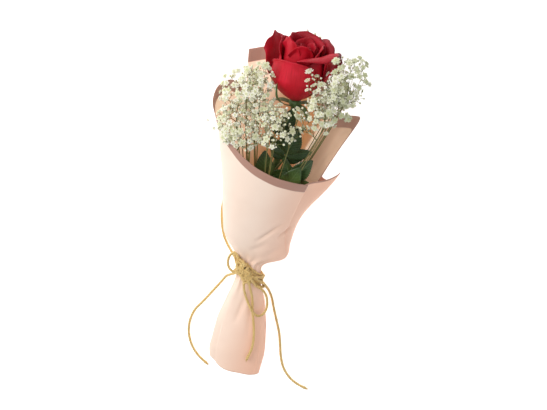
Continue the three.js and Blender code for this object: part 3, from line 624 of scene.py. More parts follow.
# Creases where the cone closes up over the pouch at its lower right, each from one place to another, seen
# from the front, with its width and depth. The last two are the skirt's soft folds.
CREASES = (
    ((2, 34), (24, 57), 1.7, 2.2), ((20, 40), (31, 52), 1.5, 2.0), ((-2, 22), (12, 34), 2.2, 1.0),
    ((8, 16), (26, 30), 2.6, 1.1), ((-5, -48), (1, -22), 2.6, 1.8), ((9, -60), (6, -18), 3.0, 1.1),
)


def pleats(angle, y):
    """Tight folds at the tie that run out into long soft ones above it and below it, in millimetres."""
    turned = math.radians(angle)
    tight = math.sin(13 * turned + 0.8 * math.sin(3 * turned)) * near_tie(y, 17)
    loose = math.sin(7 * turned + 1.1 + 0.5 * math.sin(2 * turned)) * near_tie(y + 8, 38)
    flare = math.sin(5 * turned + 2.2) * smoothstep(-y, 20, 75) * (0.35 if 40 < angle < 140 else 1.0)
    return 0.85 * tight + 0.65 * loose + 0.9 * flare


def crumple(x, y):
    """Slight unevenness of handled paper, in millimetres."""
    coarse = mathutils.noise.noise(Vector((x * 0.035, y * 0.035, 3.1)))
    fine = mathutils.noise.noise(Vector((x * 0.11, y * 0.09, 9.7)))
    return 0.75 * coarse + 0.22 * fine


def paper_sheet(name, grid, face, border, painted_light):
    """A closed sheet of paper over a grid. face() places a point on the outer side, 0, or the inner one, 1.
    border() gives how far a point is from the printed edge, in millimetres, and the third function how much
    painted highlight, up to 1, or painted shade, down to -1, lies on it."""
    columns, rows = grid
    positions, faces, edge_distance, worn_tone = [], [], [], []
    for side in (0, 1):
        for i in range(columns + 1):
            for j in range(rows + 1):
                positions.append(face(i / columns, j / rows, side))
                edge_distance.append(border(i / columns, j / rows))
                worn_tone.append(painted_light(i / columns, j / rows))

    def index(i, j, side):
        return (side * (columns + 1) + i) * (rows + 1) + j

    for i in range(columns):
        for j in range(rows):
            corners = ((i, j), (i + 1, j), (i + 1, j + 1), (i, j + 1))
            faces.append([index(*corner, 0) for corner in corners])
            faces.append([index(*corner, 1) for corner in reversed(corners)])
    rims = [((i, 0), (i + 1, 0)) for i in range(columns)]
    rims += [((columns, j), (columns, j + 1)) for j in range(rows)]
    rims += [((i + 1, rows), (i, rows)) for i in range(columns)]
    rims += [((0, j + 1), (0, j)) for j in range(rows)]
    for first, second in rims:
        faces.append([index(*second, 0), index(*first, 0), index(*first, 1), index(*second, 1)])
    mesh = new_mesh(name, positions, [], faces, edge_distance=edge_distance, worn_tone=worn_tone)
    for material in (PAPER_OUTSIDE, PAPER_INSIDE):
        mesh.materials.append(material)
    for k, polygon in enumerate(mesh.polygons):
        is_inner = k < 2 * columns * rows and k % 2 == 1
        polygon.material_index = 1 if is_inner else 0
    mesh.shade_smooth()
    return new_object(name, mesh)


def paper_material(name, tones, slope, warm_range, far_range, glow, lit):
    """Matte paper with faint fibres, which glows a little: painted light that stands in for the light thin
    paper lets through. It turns from the light tone to the warm one and on to the far one across the wrap,
    and has a mauve border where the printed edge is near. A painted highlight and painted shade that the
    sheet carries are laid over it."""
    light, deep, warm, far = tones
    material, tree, shader = new_material(name, 0.66, Sheen_Weight=0.12, Sheen_Roughness=0.6,
                                          Emission_Strength=glow)
    place = object_place(tree)
    tone, height = fibres_over(tree, place, 900.0, 22.0)
    mottled = blend(tree, share_between(tree, tone, 0.35, 0.7), light, deep)
    inputs = {0: place, 1: (0.9, slope, 0.0)}
    slant = add_node(tree, "ShaderNodeVectorMath", inputs, operation="DOT_PRODUCT").outputs["Value"]
    warmth = share_between(tree, slant, *warm_range)
    warmed = blend(tree, warmth, mottled, warm)
    warmed = blend(tree, share_between(tree, slant, *far_range), warmed, far)
    # Painted light: a painted highlight along the wing's crease, and painted shade in the hollow at its
    # right.
    painted_light = piece_attribute(tree, "worn_tone")
    warmed = blend(tree, share_between(tree, painted_light, 0.0, 1.0, 0.0, 0.9), warmed, (1.0, 0.86, 0.70, 1))
    warmed = blend(tree, share_between(tree, painted_light, 0.0, -1.0, 0.0, 0.7), warmed, (0.60, 0.38, 0.25, 1))
    edge_distance = piece_attribute(tree, "edge_distance")
    near_edge = share_between(tree, edge_distance, BORDER_WIDTH - 0.35, BORDER_WIDTH + 0.35, 1.0, 0.0)
    mauve = blend(tree, tone, (0.385, 0.205, 0.155, 1), (0.465, 0.265, 0.205, 1))
    colour = blend(tree, near_edge, warmed, mauve)
    tree.links.new(colour, shader.inputs["Base Color"])
    # Painted light: the paper glows, most where it is least warm and most on its inside, for the light it
    # lets through.
    glowing = blend(tree, share_between(tree, warmth, 0.0, 0.8), lit, colour)
    glowing = blend(tree, near_edge, glowing, mauve)
    # The painted highlight along the wing's crease also glows, brighter than the paper round it.
    glowing = blend(tree, share_between(tree, painted_light, 0.2, 1.0), glowing, (2.6, 2.15, 1.65, 1))
    tree.links.new(glowing, shader.inputs["Emission Color"])
    bump(tree, shader, height, 0.12 * MM, 0.5)
    return material


OUTSIDE_TONES = (
    (0.93, 0.755, 0.64, 1), (0.90, 0.71, 0.59, 1), (0.93, 0.55, 0.395, 1), (0.93, 0.55, 0.395, 1),
)
INSIDE_TONES = ((0.98, 0.80, 0.65, 1), (0.95, 0.74, 0.56, 1), (0.74, 0.37, 0.165, 1), (0.88, 0.62, 0.45, 1))
# The last two numbers of each are the strength of its painted glow and the glow's colour where the paper is
# least warm.
PAPER_OUTSIDE = paper_material("peach_paper_outside", OUTSIDE_TONES, -0.13, (-0.006, 0.046), (0.046, 0.1),
                               0.03, (0.93, 0.72, 0.6, 1))
PAPER_INSIDE = paper_material("tan_paper_inside", INSIDE_TONES, -0.25, (-0.045, -0.008), (0.010, 0.028),
                              0.17, (2.3, 1.7, 1.25, 1))


def outer_face(u, v, side):
    """From the front panel's right edge, over the front and left, round the back, and out at the right."""
    rim_y = rim_height(OUTER_RIM, span_angle(OUTER_SPAN, u, OUTER_MOUTH_Y), OUTER_EASING)
    skirt_angle = math.radians(span_angle(OUTER_SPAN, u, 0))
    slanted = SKIRT_END + SKIRT_CUT * max(0, -math.cos(skirt_angle)) ** 2
    y = lerp(slanted + 0.6 * math.sin(5 * skirt_angle), rim_y, v)
    angle = span_angle(OUTER_SPAN, u, y)
    point = oval_point(angle, y)
    inward = inward_at(angle, y)
    is_front = math.sin(math.radians(angle)) > 0.1
    depth = 0.6 + pleats(angle, y) + crumple(point.x + (0 if is_front else 90), y) * 0.8
    if is_front:
        depth += sum(deep * valley(point.x, y, start, stop, wide) for start, stop, wide, deep in CREASES)
    depth += 1.6 * smoothstep(angle, 378, 402)
    point += inward * (depth + side * PAPER_THICKNESS)
    far_corner = smoothstep(angle, 318, 362) * (1 - smoothstep(angle, 370, 400))
    point.x += FAR_CORNER_PUSH * far_corner * smoothstep(y, 55, 108)
    point.z = max(point.z, 0.05 + side * PAPER_THICKNESS)
    return at(*point)


def outer_border(u, v):
    """The border follows the rim, wider at the left, and only a narrow line of it goes on at the right."""
    angle = span_angle(OUTER_SPAN, u, OUTER_MOUTH_Y)
    from_rim = (1 - v) * (rim_height(OUTER_RIM, angle, OUTER_EASING) - SKIRT_END)
    wider = 0.4 * smoothstep(angle, 150, 175) * (1 - smoothstep(angle, 225, 240))
    return from_rim / (1 + wider) + 6.0 * smoothstep(angle, 335, 355)


def wing_fold_angle(y):
    """The angle of the wing's fold, a straight line that runs out to the right as it rises."""
    left, right, _, _ = section_at(y)
    share = (lerp(31, 46, (y - 108) / 37) - (left + right) / 2) / ((right - left) / 2)
    return 360 - math.degrees(math.acos(min(max(share, 0), 0.9)))


def inner_angle(u, y):
    """The angle at a share of the inner sheet's width. Above the tie one column follows the wing's fold."""
    first, last = span_angle(INNER_SPAN, 0, y), span_angle(INNER_SPAN, 1, y)
    fold = lerp(lerp(first, last, WING_FOLD_SHARE), wing_fold_angle(y), smoothstep(y, 35, 75))
    if u < WING_FOLD_SHARE:
        return lerp(first, fold, u / WING_FOLD_SHARE)
    return lerp(fold, last, (u - WING_FOLD_SHARE) / (1 - WING_FOLD_SHARE))


def inner_y(u, v):
    """The place along the wrap at the shares u of the inner sheet's width and v of its length."""
    rim_y = rim_height(INNER_RIM, inner_angle(u, INNER_MOUTH_Y), INNER_EASING)
    return lerp(INNER_SHEET_END, rim_y, v)


def inner_face(u, v, side):
    """The tall sheet behind the bloom, whose right wing has a fold along it, steep at its left."""
    y = inner_y(u, v)
    angle = inner_angle(u, y)
    point = oval_point(angle, y)
    gap = lerp(2.0, 0.5, near_tie(y, 28))
    past_fold = angle - wing_fold_angle(y)
    fold = max(0, 1 + past_fold / 5 if past_fold < 0 else 1 - past_fold / 28) ** 1.5
    fold *= smoothstep(y, 55, 105)
    depth = 1.3 + gap + pleats(angle + 11, y) * 0.8 + crumple(angle, y + 40)
    point += inward_at(angle, y) * (depth + side * PAPER_THICKNESS)
    point.x += WING_PUSH * smoothstep(angle, 325, 360) * max(0, (y - 80) / 76)
    point.z = max(point.z, 1.2 + side * PAPER_THICKNESS) + WING_FOLD_HEIGHT * fold
    return at(*point)


def inner_border(u, v):
    """The border follows the rim, with a gap before the wing, whose side edge has a narrow line of it."""
    angle = inner_angle(u, INNER_MOUTH_Y)
    from_rim = (1 - v) * (rim_height(INNER_RIM, angle, INNER_EASING) - INNER_SHEET_END)
    faded = 12 * math.exp(-(((angle - 311) / 8) ** 2))
    from_side = (INNER_SPAN["mouth"][1] - angle) * 0.65
    return min(from_rim * 0.62 + faded, from_side)


def wing_painted_light(u, v):
    """A painted highlight of 1 along the wing's crease, down to painted shade of -1 in the hollow at its
    right, and 0 elsewhere.
    """
    y = inner_y(u, v)
    past_fold = inner_angle(u, y) - wing_fold_angle(y)
    painted_light = math.exp(-(((past_fold + 1.6) / 2.8) ** 2))
    hollow = 0.8 * smoothstep(past_fold, 1, 5) * (1 - smoothstep(past_fold, 14, 34))
    return (painted_light - hollow) * smoothstep(y, 85, 112)


outer_sheet = paper_sheet("paper_outer", OUTER_GRID, outer_face, outer_border, lambda u, v: 0.0)
inner_sheet = paper_sheet("paper_inner", INNER_GRID, inner_face, inner_border, wing_painted_light)
for sheet, node in ((outer_sheet, "wrap_outer_sheet"), (inner_sheet, "wrap_inner_sheet")):
    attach(sheet, "root")
    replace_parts(sheet, node)

# ---- the rose's bloom ----
# A half-open red rose, about 55 mm across without its outermost petals. Each petal is a thin velvety sheet
# that rises from the hip, swells to its belly and curls outward at its lip. They overlap in a spiral, which
# is tight at the heart and loose outside.
BLOOM_BASE = at(14, 165, 36)
BLOOM_TILT = math.radians(14)
BLOOM_LEAN = math.radians(4)
PETAL_THICKNESS = 0.45
PETAL_COLUMNS = 26
PETAL_ROWS = 34
GOLDEN_TURN = 137.5  # degrees from each petal of the heart to the next

bloom_axis = Vector((
    -math.sin(BLOOM_LEAN) * math.cos(BLOOM_TILT), math.cos(BLOOM_LEAN) * math.cos(BLOOM_TILT),
    math.sin(BLOOM_TILT),
))
bloom_right = Vector((bloom_axis.y, -bloom_axis.x, 0)).normalized()
bloom_front = bloom_right.cross(bloom_axis).normalized()


def petal(middle, half_width, belly, height, roll, start=0.86, point=0.02, lean=0, spiral=0.0, shift=0.0,
          dark=0.3, side_roll=0.35):
    """A petal's form. Its middle is an angle round the bloom (0 right, 90 front), and its half width is in
    degrees too. belly and height are in millimetres. Its lip rolls outward by roll degrees, from the share
    start of its height on, and its sides roll by a share more. point draws its tip together, lean tips it
    outward in degrees, spiral is how far one side edge lies outside the other, shift moves its top to the
    right, and dark is how dark its lip is: partly the petal's own near-black edge, and partly painted shade
    on the petals that turn from the light."""
    return {"middle": middle, "half_width": half_width, "belly": belly, "height": height, "roll": roll,
            "start": start, "point": point, "lean": lean, "spiral": spiral, "shift": shift, "dark": dark,
            "side_roll": side_roll}


HEART_PETALS = [
    petal(60 + GOLDEN_TURN * k, 120 - 6 * k, 3.4 + 1.45 * k, 50.5 + 0.9 * k, 10 + 6 * k, spiral=1.0, shift=5)
    for k in range(5)
]
INNER_PETALS = (
    petal(142, 60, 14.2, 60.0, 22, start=0.84, point=0.10, spiral=1.0, shift=1.5, dark=0.05),
    petal(92, 50, 13.6, 56.0, 34, spiral=1.2, shift=2.5, dark=0.05),
    petal(222, 62, 14.6, 57.0, 14, spiral=1.2, shift=2, dark=0.4),
    petal(298, 62, 15.0, 55.0, 28, spiral=1.2, shift=4, dark=0.4),
    petal(15, 60, 14.6, 54.0, 46, spiral=1.2, shift=4),
)
MIDDLE_PETALS = (
    petal(282, 64, 20.0, 56.0, 46, spiral=0.6, dark=0.5),
    petal(335, 52, 22.0, 54.5, 70, point=0.04, lean=2, spiral=1.0, shift=1, dark=0.7),
    petal(206, 50, 18.5, 54.0, 24, spiral=1.0, dark=0.4),
    petal(44, 56, 18.4, 60.0, 132, start=0.65, point=0.0, spiral=-3.0, dark=0.25, side_roll=-0.5),
)
OUTER_PETALS = (
    petal(110, 70, 23.6, 43.0, 16, start=0.94, point=0.0, dark=0.05),
    petal(20, 60, 21.8, 44.0, 10, start=0.95, point=0.0, dark=0.5),
    petal(276, 60, 22.6, 51.0, 60, start=0.80, point=0.04, spiral=1.0, dark=0.6),
    petal(222, 46, 26.5, 51.0, 20, start=0.6, point=0.2, lean=3, shift=-1, dark=0.4, side_roll=0.6),
    petal(352, 42, 24.6, 45.0, 58, start=0.68, point=0.05, lean=8, shift=1, dark=0.9),
)


def bloom_point(angle, radius, height):
    """A place by its angle round the bloom's axis, and its radius and height in millimetres."""
    around = bloom_right * math.cos(angle) + bloom_front * math.sin(angle)
    return BLOOM_BASE + (bloom_axis * height + around * radius) * MM


def petal_profile(share, belly, height, roll, roll_start):
    """The petal's middle line: radius and height at a share of its length."""
    swell = math.sin(min(share / 0.6, 1) * math.pi / 2) ** 0.8
    radius = lerp(3.0, belly, swell) - 0.10 * belly * smoothstep(share, 0.55, 0.95)
    if share <= roll_start:
        return radius, height * share
    left = height * (1 - roll_start)
    turned = roll * (share - roll_start) / (1 - roll_start)
    bend = left / roll
    return radius + bend * (1 - math.cos(turned)), height * roll_start + bend * math.sin(turned)


def grid_corners(first, columns, rows):
    """Each cell's first corner, in a grid whose points are listed column by column from an index on."""
    return [first + i * (rows + 1) + j for i in range(columns) for j in range(rows)]


def petal_mesh(positions, faces, lengths, spreads, form):
    """Adds one petal's grid to the lists, with each point's place along and across the petal."""
    phase = form["middle"] * 0.37
    first = len(positions)
    for i in range(PETAL_COLUMNS + 1):
        side = 2 * i / PETAL_COLUMNS - 1
        for j in range(PETAL_ROWS + 1):
            share = j / PETAL_ROWS
            tip = form["point"] * math.exp(-(side / 0.16) ** 2) * smoothstep(share, 0.8, 1) * 0.3
            height = form["height"] * (1 - 0.17 * abs(side) ** 2.6 * smoothstep(share, 0.5, 1) + tip)
            roll = math.radians(form["roll"]) * (1 + form["side_roll"] * abs(side) ** 1.5)
            radius, up = petal_profile(share, form["belly"], height, roll, form["start"] - 0.07 * side * side)
            wide = form["half_width"] * lerp(0.72, 1, math.sin(math.pi * share * 0.62))
            wide *= 1 - 0.10 * share ** 3
            narrowing = 1 - form["point"] * smoothstep(share, 0.55, 1) * 1.6
            angle = math.radians(form["middle"] + wide * side * narrowing)
            ripple = 0.55 * math.sin(5 * side + phase) * share ** 4
            ripple += 0.35 * math.sin(9 * side + 2 * phase) * share ** 6
            radius += form["spiral"] * side * smoothstep(share, 0, 0.4) + ripple
            radius += math.tan(math.radians(form["lean"])) * up * smoothstep(share, 0.2, 1)
            place = bloom_point(angle, radius, up + 1.0 + 0.3 * ripple)
            positions.append(place + bloom_right * form["shift"] * smoothstep(share, 0.2, 1) * MM)
            lengths.append(share)
            spreads.append(side)
    for corner in grid_corners(first, PETAL_COLUMNS, PETAL_ROWS):
        faces.append((corner, corner + 1, corner + PETAL_ROWS + 2, corner + PETAL_ROWS + 1))


def petal_material():
    """Crimson velvet in slow clouds, finely veined lengthwise. It is darker at the root, as painted shade
    deep in the bloom, and at a dark lip, partly the petal's own near-black edge and partly painted shade.
    """
    material, tree, shader = new_material(
        "rose_velvet", 0.58, Sheen_Weight=0.14, Sheen_Roughness=0.36, Sheen_Tint=(1.0, 0.06, 0.10, 1),
        Subsurface_Weight=0.06, Specular_IOR_Level=0.3, Subsurface_Radius=(0.004, 0.0008, 0.0006),
    )
    length = piece_attribute(tree, "petal_length")
    across = times(tree, piece_attribute(tree, "petal_spread"), 26.0)
    lanes = add_node(tree, "ShaderNodeCombineXYZ", {0: across, 1: times(tree, length, 2.2)}).outputs[0]
    veins = noise(tree, lanes, 1.0, 4.0)
    cloud = share_between(tree, noise(tree, object_place(tree), 70.0, 2.0), 0.35, 0.68)
    body = blend(tree, cloud, (0.50, 0.003, 0.015, 1), (0.64, 0.009, 0.031, 1))
    veined = blend(tree, share_between(tree, veins, 0.45, 0.75, 0.0, 0.45), body, (0.30, 0.001, 0.008, 1))
    # Partly painted shade: the dark lip is the petal's own dark edge, made darker on petals that turn from
    # the light.
    lip = calculate(tree, "POWER", share_between(tree, length, 0.62, 1.0), 3.0)
    dark_lip = times(tree, lip, piece_attribute(tree, "lip_darkness"))
    lipped = blend(tree, dark_lip, veined, (0.09, 0.001, 0.009, 1))
    # Painted shade deep in the bloom, at each petal's root.
    rooted = blend(tree, share_between(tree, length, 0.0, 0.22, 0.55, 0.0), lipped, (0.20, 0.002, 0.008, 1))
    tree.links.new(rooted, shader.inputs["Base Color"])
    bump(tree, shader, veins, 0.22 * MM, 0.4)
    return material


def thickened(name, mesh, thickness):
    """A piece from thin sheets, its thickness in millimetres, with smooth faces."""
    piece = new_object(name, mesh)
    thicken = piece.modifiers.new("thickness", "SOLIDIFY")
    thicken.thickness = thickness * MM
    thicken.offset = 0
    make_plain(piece)
    piece.data.shade_smooth()
    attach(piece, "root")
    return piece


def rose_petals(name, forms):
    """Several petals as one piece."""
    positions, faces, lengths, spreads, darkness = [], [], [], [], []
    for form in forms:
        petal_mesh(positions, faces, lengths, spreads, form)
        darkness.extend([form["dark"]] * (len(positions) - len(darkness)))
    mesh = new_mesh(name, positions, [], faces, petal_length=lengths, petal_spread=spreads,
                    lip_darkness=darkness)
    mesh.materials.append(ROSE_VELVET)
    piece = thickened(name, mesh, PETAL_THICKNESS)
    return piece


ROSE_VELVET = petal_material()
for name, forms in (("bloom_heart", HEART_PETALS), ("bloom_inner_petals", INNER_PETALS),
                    ("bloom_middle_petals", MIDDLE_PETALS), ("bloom_outer_petals", OUTER_PETALS)):
    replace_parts(rose_petals(name, forms), "rose_bloom")

# ---- the rose's stem, sepals and leaves ----
# A smooth green stem with a few prickles, cut across at its foot. Five narrow sepals fold back from the hip,
# one of them laid up against the petals, and five compound leaves with toothed edges fill the wrap's mouth.
STEM_RADIUS = 3.0
NECK_HEIGHT = 14.6
STEM_ROUTE = [at(0, -84, NECK_HEIGHT), at(0, -40, NECK_HEIGHT), at(0, 8, NECK_HEIGHT), at(1.5, 45, 17),
              at(6, 95, 23), at(11.5, 140, 30.5), BLOOM_BASE - bloom_axis * 7 * MM]
STEM_LINE = smooth_route(STEM_ROUTE, 2 * MM)
PRICKLED_POINTS = (6, 12, 19, 44, 52, 61, 70, 84, 97, 108)  # of the stem's line
# The height and girth of the hip's parts, and the reach and rise of a prickle's.
HIP = ((-8, 1.0), (-6.4, 1.25), (-4.6, 1.62), (-2.6, 1.9), (-0.8, 1.85), (0.8, 1.5), (1.6, 0.9))
PRICKLE = ((2.6, 0), (3.7, -0.3), (5.0, -1.3))
PRICKLE_GIRTHS = (0.5, 0.22, 0.04)
SEPAL_ANGLES = (56, 128, 200, 272, 344)
LAID_UP_SEPAL = 128
SEPAL_THICKNESS = 0.6
# Each leaf's joint with the stem, its elbow, its end, the way its blades face, and its last blade's length.
LEAVES = (
    ((1.2, 44, 18), (9, 66, 29), (17, 84, 39), (-0.2, -0.35, 1), 30),
    ((2.5, 58, 20), (1, 78, 32), (-1, 94, 40), (0.1, -0.3, 1), 27),
    ((7, 98, 25), (12, 110, 36), (15, 120, 42), (0, -0.5, 1), 27),
    ((9, 118, 27), (7, 132, 38), (9, 140, 42), (-0.2, -0.5, 1), 22),
    ((4, 76, 22), (18, 88, 36), (24, 97, 40), (-0.4, -0.4, 1), 25),
)
LEAF_THICKNESS = 0.4


def leaf_material(name, dark, pale, vein, roughness):
    """Waxy green in slow clouds, palest near the outer rim, with lighter, slightly raised veins."""
    material, tree, shader = new_material(name, roughness, Coat_Weight=0.12, Coat_Roughness=0.35)
    distance = calculate(tree, "ABSOLUTE", piece_attribute(tree, "blade_across"))
    along = times(tree, piece_attribute(tree, "blade_along"), 9.0)
    slanted = calculate(tree, "SUBTRACT", along, times(tree, distance, 2.4))
    from_vein = calculate(tree, "SUBTRACT", calculate(tree, "FRACT", slanted), 0.5)
    side_vein = share_between(tree, calculate(tree, "ABSOLUTE", from_vein), 0.02, 0.10, 1.0, 0.0)
    midrib = share_between(tree, distance, 0.02, 0.07, 1.0, 0.0)
    veins = calculate(tree, "MAXIMUM", midrib, times(tree, side_vein, 0.6))
    place = object_place(tree)
    place_y = add_node(tree, "ShaderNodeSeparateXYZ", {0: place}).outputs["Y"]
    near_rim = share_between(tree, place_y, 0.02, 0.045, 1.0, 0.2)
    cloud = share_between(tree, noise(tree, place, 110.0, 3.0), 0.2, 0.6)
    body = blend(tree, times(tree, cloud, near_rim), dark, pale)
    tree.links.new(blend(tree, times(tree, veins, 0.55), body, vein), shader.inputs["Base Color"])
    bump(tree, shader, veins, 0.3 * MM, 0.6)
    return material


LEAF_GREEN = leaf_material("rose_leaf_green", (0.013, 0.034, 0.009, 1), (0.075, 0.155, 0.034, 1),
                           (0.13, 0.22, 0.08, 1), 0.42)
STEM_GREEN = leaf_material("rose_stem_green", (0.07, 0.13, 0.035, 1), (0.12, 0.19, 0.06, 1),
                           (0.16, 0.22, 0.08, 1), 0.5)


def blade_mesh(name, blades, columns=8, rows=44):
    """Several blades as one mesh. Each blade is a function from (across, along) to a place in metres, with
    across from -1 to 1 and along from 0 to 1."""
    positions, faces, across_values, along_values = [], [], [], []
    for blade in blades:
        first = len(positions)
        for i in range(columns + 1):
            for j in range(rows + 1):
                positions.append(blade(2 * i / columns - 1, j / rows))
                across_values.append(2 * i / columns - 1)
                along_values.append(j / rows)
        for corner in grid_corners(first, columns, rows):
            faces.append((corner, corner + rows + 1, corner + rows + 2, corner + 1))
    return new_mesh(name, positions, [], faces, blade_across=across_values, blade_along=along_values)


def blade_piece(name, mesh, material, thickness):
    """Makes a mesh of blades a piece of the rose's greenery."""
    mesh.materials.append(material)
    piece = thickened(name, mesh, thickness)
    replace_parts(piece, "rose_stem")


def leaflet(base, tip, up, width, teeth):
    """A toothed blade, folded along its rib, arched down towards its tip and waved at its edges."""
    along = (tip - base).normalized()
    length = (tip - base).length
    across = along.cross(up).normalized()
    normal = across.cross(along).normalized()

    def blade(side, share):
        half = width / 2 * math.sin(math.pi * (0.03 + 0.955 * share) ** 0.8) ** 0.85
        saw = (share * teeth) % 1.0
        tooth = 1 + 0.13 * (saw - 0.5) * smoothstep(share, 0.02, 0.12) * abs(side) ** 3
        wave = 0.035 * width * math.sin(8 * share + 2 * side) * abs(side)
        lift = abs(side) * half * 0.22 - 0.12 * length * share ** 2 + wave
        quilt = 0.012 * width * math.cos(math.tau * (share * 9 - abs(side) * 2.4))
        quilt = quilt * (1 - abs(side)) * abs(side) * 4
        return base + along * length * share + across * side * half * tooth + normal * (lift - quilt)
    return blade


def leaf_blades():
    """The leaflets of each leaf: one at its end and two pairs before it."""
    blades = []
    for _, elbow, end, up, size in LEAVES:
        elbow, end, up = at(*elbow), at(*end), Vector(up).normalized()
        direction = (end - elbow).normalized()
        across = direction.cross(up).normalized()
        foot, tip = end - direction * 1.5 * MM, end + direction * size * MM
        blades.append(leaflet(foot, tip, up, size * 0.62 * MM, 15))
        for back, share in ((0.25, 0.82), (0.8, 0.66)):
            joint = end - (end - elbow) * back
            for side in (-1, 1):
                base = joint + across * side * 0.4 * MM
                outward = (direction * 0.5 + across * side * 0.85).normalized()
                tip = base + outward * size * share * MM
                blades.append(leaflet(base, tip, up, size * share * 0.6 * MM, 13))
    return blades


def sepal_blade(angle, laid_up):
    """A narrow tapering sepal, folded back from the hip, or laid up against the bloom."""
    def blade(side, share):
        half = (1.5 if laid_up else 3.2) * math.sin(math.pi * (0.3 + 0.68 * share)) ** 1.1
        if laid_up:
            reach = 5.0 + 20.5 * math.sin(min(share / 0.75, 1) * math.pi / 2) + 1.2
            height = -3.0 + 27.0 * share ** 1.25
        else:
            reach = 4.4 + 20 * share ** 0.8
            height = -3.2 + 2.4 * math.sin(2.4 * share) - 9 * share ** 2 + 0.6 * side * side
        turn = math.atan2(half * side, reach)
        return bloom_point(math.radians(angle) + turn, reach, height)
    return blade


blade_piece("rose_leaves", blade_mesh("rose_leaves", leaf_blades()), LEAF_GREEN, LEAF_THICKNESS)
sepal_blades = [sepal_blade(angle, angle == LAID_UP_SEPAL) for angle in SEPAL_ANGLES]
blade_piece("rose_sepals", blade_mesh("rose_sepals", sepal_blades, 6, 18), STEM_GREEN, SEPAL_THICKNESS)


def tube_tree():
    """Sweeps a plain round section along each line."""
    tree, given = new_tree("round_tube", {"Radius": "Float", "Sides": "Int", "Material": "Material"})
    curve = add_node(tree, "GeometryNodeMeshToCurve", {"Mesh": given["Geometry"]}).outputs[0]
    length = tree.nodes.new("GeometryNodeSplineParameter").outputs["Length"]
    curve = stored(tree, curve, "blade_along", length)
    inputs = {"Resolution": given["Sides"], "Radius": given["Radius"]}
    circle = add_node(tree, "GeometryNodeCurvePrimitiveCircle", inputs).outputs[0]
    circle = stored(tree, circle, "blade_across", 1.0)
    end_tree(tree, tube_nodes(tree, curve, circle), given["Material"])
    return tree


TUBE_TREE = tube_tree()


def green_tubes(name, lines, thickness, radius, sides, material):
    """Stems, stalks or twigs as one piece of smooth tubes."""
    values = {"Radius": radius * MM, "Sides": sides, "Material": material}
    piece = grow(name, strand_mesh(name, lines, thickness), TUBE_TREE, values)
    piece.data.shade_smooth()
    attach(piece, "root")
    return piece


def stem_lines():
    """The stem with its hip, the leaves' stalks, and the prickles, each with its thickness in stem radii."""
    lines = [list(STEM_LINE)]
    thickness = [1.0 + 0.05 * math.sin(0.21 * k) for k in range(len(STEM_LINE))]
    lines.append([BLOOM_BASE + bloom_axis * height * MM for height, _ in HIP])
    thickness.extend(girth for _, girth in HIP)
    for start, elbow, end, _, _ in LEAVES:
        line = smooth_route([at(*start), at(*elbow), at(*end)], 3 * MM)
        lines.append(line)
        thickness.extend(lerp(0.42, 0.22, k / (len(line) - 1)) for k in range(len(line)))
    rng = random.Random(21)
    for place in PRICKLED_POINTS:
        root = STEM_LINE[place]
        ahead = (STEM_LINE[place + 1] - root).normalized()
        turn = rng.uniform(0, math.tau)
        side = Matrix.Rotation(turn, 3, ahead) @ ahead.orthogonal().normalized()
        lines.append([root + (side * reach + ahead * rise) * MM for reach, rise in PRICKLE])
        thickness.extend(PRICKLE_GIRTHS)
    return lines, thickness


stem = green_tubes("rose_stem_tubes", *stem_lines(), STEM_RADIUS, 14, STEM_GREEN)
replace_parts(stem, "rose_stem")

# ---- the baby's breath ----
# Seven sprays. Each has a wiry stem in the ring round the rose's stem, and thinner ones beside it, which fork
# again and again into hair-thin twigs. Each twig ends in a cream double floret 5 to 8 mm across or in a bud.
SPRAY_STEM_RADIUS = 0.8
SPRAY_RING_RADIUS = 4.1
SIDE_STEMS = {"left": 3, "right": 1}  # how many each spray has
RIGHT_SIDE = 20  # a spray whose middle is further to the right counts as a right one
SIDE_STEM_TRIES = 12
FLORET_DIAMETER = 6.8
BUD_DIAMETER = 3.6
LARGE_FLORET_DIAMETER = 8.4
PLACE_TRIES = 9000  # for the tips of one ball
OPEN_SHARE = 0.6  # of all the tips; the others are buds
FORK_TRIES = 14  # how many of the nearest forks a twig may start from
